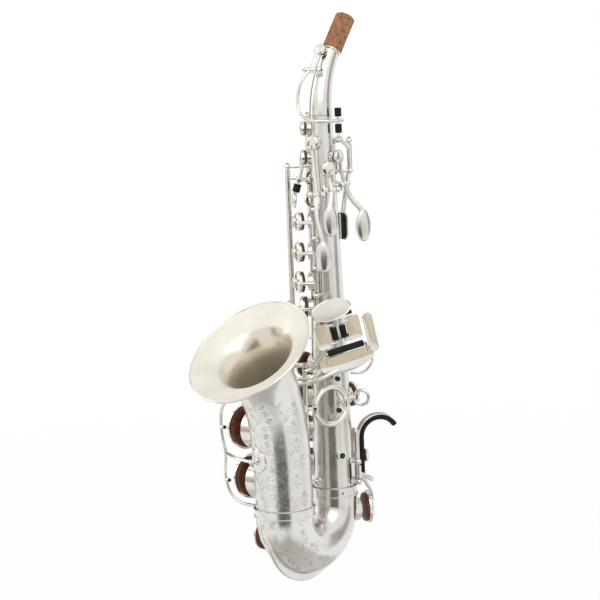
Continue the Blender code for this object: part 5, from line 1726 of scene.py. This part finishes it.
FELT_ANGLE = 63.0
FELT_HEIGHTS = (142.0, 118.5, 111.5)
HELD_FELT_HEIGHT = 85.0


def make_body_felts():
    """Small felt stops on the body tube, the lowest one in a round holder."""
    way = polar(FELT_ANGLE, 1.0)
    for height in FELT_HEIGHTS:
        foot = polar(FELT_ANGLE, body_radius(height) - 0.1, height)
        felts.append(lathe(foot, way, [(0, 1.6), (0.3, 1.8), (1.7, 1.8), (2.0, 1.5)], 24))
    foot = polar(FELT_ANGLE, body_radius(HELD_FELT_HEIGHT) - 0.1, HELD_FELT_HEIGHT)
    holder = [(0, 2.4), (0, 3.4), (0.4, 3.6), (2.6, 3.6), (3.0, 3.3), (3.0, 2.4)]
    add("felt_holder", [lathe(foot, way, holder, 32)], POLISHED)
    felts.append(lathe(foot, way, [(0, 2.3), (3.0, 2.3), (3.5, 2.0), (3.7, 1.4)], 28))


GUARD_FOOT_ANGLE = -13.0


def make_bell_key_guard():
    loop = [
        (-22.0, -63, 133), (-38, -68, 133), (-45.5, -69, 128), (-48.2, -69, 113), (-46.5, -68.8, 100),
        (-44.2, -68.5, 92), (-46.5, -67.4, 83), (-47.6, -66.6, 72), (-45, -65, 60), (-37, -61.5, 53.2),
        (-22.8, -57, 52),
    ]
    bell_axis = Vector((0, -56.9, 92.0))
    out = polar(GUARD_FOOT_ANGLE, 1.0)
    head = bell_axis + out * 26.4
    strut = [(-44.2, -68.5, 92), (-26, -78.5, 92), head]
    stem = [(0, 3.2), (0.8, 2.4), (1.6, 1.6), (4.0, 1.5)]
    rows = [(1.0, -0.9), (1.0, 0.1), (0.95, 0.5), (0.6, 0.75), (0.02, 0.9)]
    bell_way = Vector((0.0, -0.075, 1.0))
    foot = slab(oval(8.6, 8.6), rows, bell_axis + out * 21.7, tangent(GUARD_FOOT_ANGLE), bell_way, 1.9)
    stand = lathe(bell_axis + out * 22.2, out, stem, 24)
    shells = [bar(loop, 1.2), bar(strut, 1.25), stand, ball(head, 2.2), foot]
    inward = Vector((1.0, 0.06, 0.0)).normalized()
    for height, y in ((111.0, -68.9), (71.0, -66.4)):
        start = Vector((-48.4, y, height))
        barrel = [(0, 0.8), (0.2, 1.4), (0.6, 1.6), (3.4, 1.6), (3.7, 1.4)]
        shells.append(lathe(start, inward, barrel, 20))
        felts.append(lathe(start + inward * 3.6, inward, [(0, 1.2), (0.2, 1.3), (1.2, 1.3), (1.4, 1.1)], 20))
    add("bell_key_guard_wire", shells, POLISHED, ROOT, ["bell_key_guard"])


def make_small_pieces():
    for center, radius, angle in (((0, 0, 56.5), BOW_BODY_RADIUS, 62.0), ((0, -2 * BOW_RADIUS, 52.0), BOW_BELL_RADIUS, 50.0)):
        way = polar(angle, 1.0)
        screws.extend(slotted_screw(Vector(center) + way * (radius + 0.3), way, 0.9, 0.9))
    add("pivot_screws", screws, STEEL)
    add("needle_springs", springs, STEEL)
    add("felt_bumpers", felts, FELT)


make_side_keys()
make_side_f_sharp()
make_low_c()
make_octave_lever()
make_neck_octave()
make_thumb_hook()
make_strap_ring()
make_bell_brace()
make_body_felts()
make_bell_key_guard()
make_small_pieces()


# Studio: camera, lights, floor and white surroundings

VIEW_AZIMUTH = 41.11
VIEW_ELEVATION = 8.0
VIEW_ROLL = -2.16
VIEW_DISTANCE = 1500.0
VIEW_ANGLE = 16.56
VIEW_CENTER = Vector((0.0, -20.0, 200.0))
VIEW_SHIFT = (-9.59, 1.72)


def make_camera():
    azimuth, elevation = math.radians(VIEW_AZIMUTH), math.radians(VIEW_ELEVATION)
    back = Vector(
        (math.sin(azimuth) * math.cos(elevation), -math.cos(azimuth) * math.cos(elevation), math.sin(elevation))
    )
    data = bpy.data.cameras.new("photo_camera")
    data.angle = math.radians(VIEW_ANGLE)
    data.shift_x = VIEW_SHIFT[0] / 600.0
    data.shift_y = VIEW_SHIFT[1] / 600.0
    camera = bpy.data.objects.new("photo_camera", data)
    bpy.context.scene.collection.objects.link(camera)
    level = (-back).to_track_quat("-Z", "Y").to_matrix().to_4x4()
    roll = Matrix.Rotation(math.radians(VIEW_ROLL), 4, "Z")
    camera.matrix_world = Matrix.Translation(metres(VIEW_CENTER) + back * VIEW_DISTANCE * MM) @ level @ roll
    bpy.context.scene.camera = camera


def area_light(name, place, target, size, power):
    data = bpy.data.lights.new(name, "AREA")
    data.shape = "RECTANGLE"
    data.size, data.size_y = size
    data.energy = power
    lamp = bpy.data.objects.new(name, data)
    bpy.context.scene.collection.objects.link(lamp)
    lamp.location = place
    lamp.rotation_euler = (Vector(target) - Vector(place)).to_track_quat("-Z", "Y").to_euler()
    return lamp


def mirror_or_camera(tree):
    """A value of one for rays from the camera and from mirror-like surfaces."""
    path = tree.nodes.new("ShaderNodeLightPath")
    first = tree.nodes.new("ShaderNodeMath")
    first.operation = "MAXIMUM"
    second = tree.nodes.new("ShaderNodeMath")
    second.operation = "MAXIMUM"
    tree.links.new(path.outputs["Is Camera Ray"], first.inputs[0])
    tree.links.new(path.outputs["Is Glossy Ray"], first.inputs[1])
    tree.links.new(first.outputs["Value"], second.inputs[0])
    tree.links.new(path.outputs["Is Transmission Ray"], second.inputs[1])
    return second.outputs["Value"]


def make_world():
    """White surroundings for the camera and for reflections, softer light for all else."""
    world = bpy.data.worlds.new("white_studio")
    bpy.context.scene.world = world
    world.use_nodes = True
    tree = world.node_tree
    ambient = tree.nodes["Background"]
    ambient.inputs["Color"].default_value = (1.0, 1.0, 1.0, 1.0)
    ambient.inputs["Strength"].default_value = 0.65
    white = tree.nodes.new("ShaderNodeBackground")
    white.inputs["Color"].default_value = (1.0, 1.0, 1.0, 1.0)
    mix = tree.nodes.new("ShaderNodeMixShader")
    tree.links.new(mirror_or_camera(tree), mix.inputs["Fac"])
    tree.links.new(ambient.outputs["Background"], mix.inputs[1])
    tree.links.new(white.outputs["Background"], mix.inputs[2])
    tree.links.new(mix.outputs["Shader"], tree.nodes["World Output"].inputs["Surface"])


def make_floor():
    """A wide pale floor well below the hanging instrument: near white, and it takes shadows."""
    reach, depth = 30.0, FLOOR_LEVEL
    mesh = bpy.data.meshes.new("studio_floor")
    corners = [(-reach, -reach, depth), (reach, -reach, depth), (reach, reach, depth), (-reach, reach, depth)]
    mesh.from_pydata(corners, [], [(0, 1, 2, 3)])
    floor = bpy.data.objects.new("studio_floor", mesh)
    bpy.context.scene.collection.objects.link(floor)
    made, tree, shader = nodes_of("pale_floor", (0.95, 0.95, 0.95), 0.9, 0.0)
    paint = noise(tree, 0.6, 3.0)
    tint = ramp(tree, paint.outputs["Fac"], [(0.35, (0.94, 0.94, 0.94)), (0.65, (0.97, 0.97, 0.97))])
    tree.links.new(tint.outputs["Color"], shader.inputs["Base Color"])
    white = tree.nodes.new("ShaderNodeEmission")
    white.inputs["Color"].default_value = (1.0, 1.0, 1.0, 1.0)
    place = tree.nodes.new("ShaderNodeTexCoord")
    span = tree.nodes.new("ShaderNodeVectorMath")
    span.operation = "LENGTH"
    tree.links.new(place.outputs["Object"], span.inputs[0])
    fade = tree.nodes.new("ShaderNodeMapRange")
    fade.inputs["From Min"].default_value = 0.8
    fade.inputs["From Max"].default_value = 2.5
    fade.inputs["To Min"].default_value = 0.93
    fade.inputs["To Max"].default_value = 1.0
    tree.links.new(span.outputs["Value"], fade.inputs["Value"])
    share = tree.nodes.new("ShaderNodeMath")
    share.operation = "MULTIPLY"
    tree.links.new(mirror_or_camera(tree), share.inputs[0])
    tree.links.new(fade.outputs["Result"], share.inputs[1])
    mix = tree.nodes.new("ShaderNodeMixShader")
    tree.links.new(share.outputs["Value"], mix.inputs["Fac"])
    tree.links.new(shader.outputs["BSDF"], mix.inputs[1])
    tree.links.new(white.outputs["Emission"], mix.inputs[2])
    tree.links.new(mix.outputs["Shader"], tree.nodes["Material Output"].inputs["Surface"])
    mesh.materials.append(made)


def make_card(name, corners, colour):
    """A toned card that only reflections see."""
    mesh = bpy.data.meshes.new(name)
    mesh.from_pydata(corners, [], [tuple(range(len(corners)))])
    card = bpy.data.objects.new(name, mesh)
    bpy.context.scene.collection.objects.link(card)
    made, tree, shader = nodes_of(name + "_paint", colour, 0.9, 0.0)
    tree.nodes.remove(shader)
    cloud = noise(tree, 1.5, 3.0)
    darker = tuple(value * 0.75 for value in colour)
    lighter = tuple(min(1.0, value * 1.15) for value in colour)
    tint = ramp(tree, cloud.outputs["Fac"], [(0.3, darker), (0.7, lighter)])
    tone = tree.nodes.new("ShaderNodeEmission")
    tree.links.new(tint.outputs["Color"], tone.inputs["Color"])
    tree.links.new(tone.outputs["Emission"], tree.nodes["Material Output"].inputs["Surface"])
    mesh.materials.append(made)
    card.visible_camera = False
    card.visible_diffuse = False
    card.visible_shadow = False


def upright(azimuth, half_angle, low, high):
    """Corners of a standing card, as wide as the angle it fills seen from the instrument."""
    turn = math.radians(azimuth)
    out = Vector((math.sin(turn), -math.cos(turn), 0.0)) * CARD_DISTANCE
    side = Vector((math.cos(turn), math.sin(turn), 0.0)) * CARD_DISTANCE * math.tan(math.radians(half_angle))
    return [out - side + UP * low, out + side + UP * low, out + side + UP * high, out - side + UP * high]


def lying(azimuth, half_angle, near, level):
    """Corners of a card on the floor that runs out to a standing card's foot."""
    foot = upright(azimuth, half_angle, 0.0, 0.0)
    rise = UP * level
    return [foot[0] * near + rise, foot[1] * near + rise, foot[1] + rise, foot[0] + rise]


CARD_DISTANCE = 2.2
NEAR_GROUND = 0.4
FLOOR_LEVEL = -0.42
CAMERA_SIDE_TONE = (0.11, 0.102, 0.092)
WARM_TONE = (0.74, 0.64, 0.50)
GREY_TONE = (0.46, 0.44, 0.41)
BROWN_TONE = (0.36, 0.285, 0.195)
GROUND_TONE = (0.62, 0.605, 0.58)


def make_studio():
    bpy.context.scene.view_settings.view_transform = "Standard"
    make_world()
    make_floor()
    area_light("key_light", (1.2, -1.5, 1.7), (0, 0, 0.1), (2.2, 2.2), 14.0)
    area_light("fill_light", (-1.5, -0.9, 0.6), (0, 0, 0), (1.2, 1.6), 4.0)
    card_foot = FLOOR_LEVEL + 0.01
    near = [(x * NEAR_GROUND, y * NEAR_GROUND, card_foot) for x, y in ((-1, -1), (1, -1), (1, 1), (-1, 1))]
    make_card("near_ground", near, GROUND_TONE)
    make_card("camera_side_card", upright(37.0, 24.0, card_foot, 0.02), CAMERA_SIDE_TONE)
    make_card("camera_side_ground", lying(37.0, 24.0, 0.36, card_foot), CAMERA_SIDE_TONE)
    make_card("warm_card", upright(82.0, 14.0, card_foot, -0.05), WARM_TONE)
    make_card("left_card", upright(-46.0, 17.0, card_foot, 0.5), BROWN_TONE)
    make_card("far_left_card", upright(-104.0, 20.0, card_foot, 0.9), BROWN_TONE)
    make_card("right_card", upright(128.0, 16.0, card_foot, 1.2), GREY_TONE)
    make_card("back_card", upright(222.0, 22.0, card_foot, 1.2), GREY_TONE)


make_camera()
make_studio()
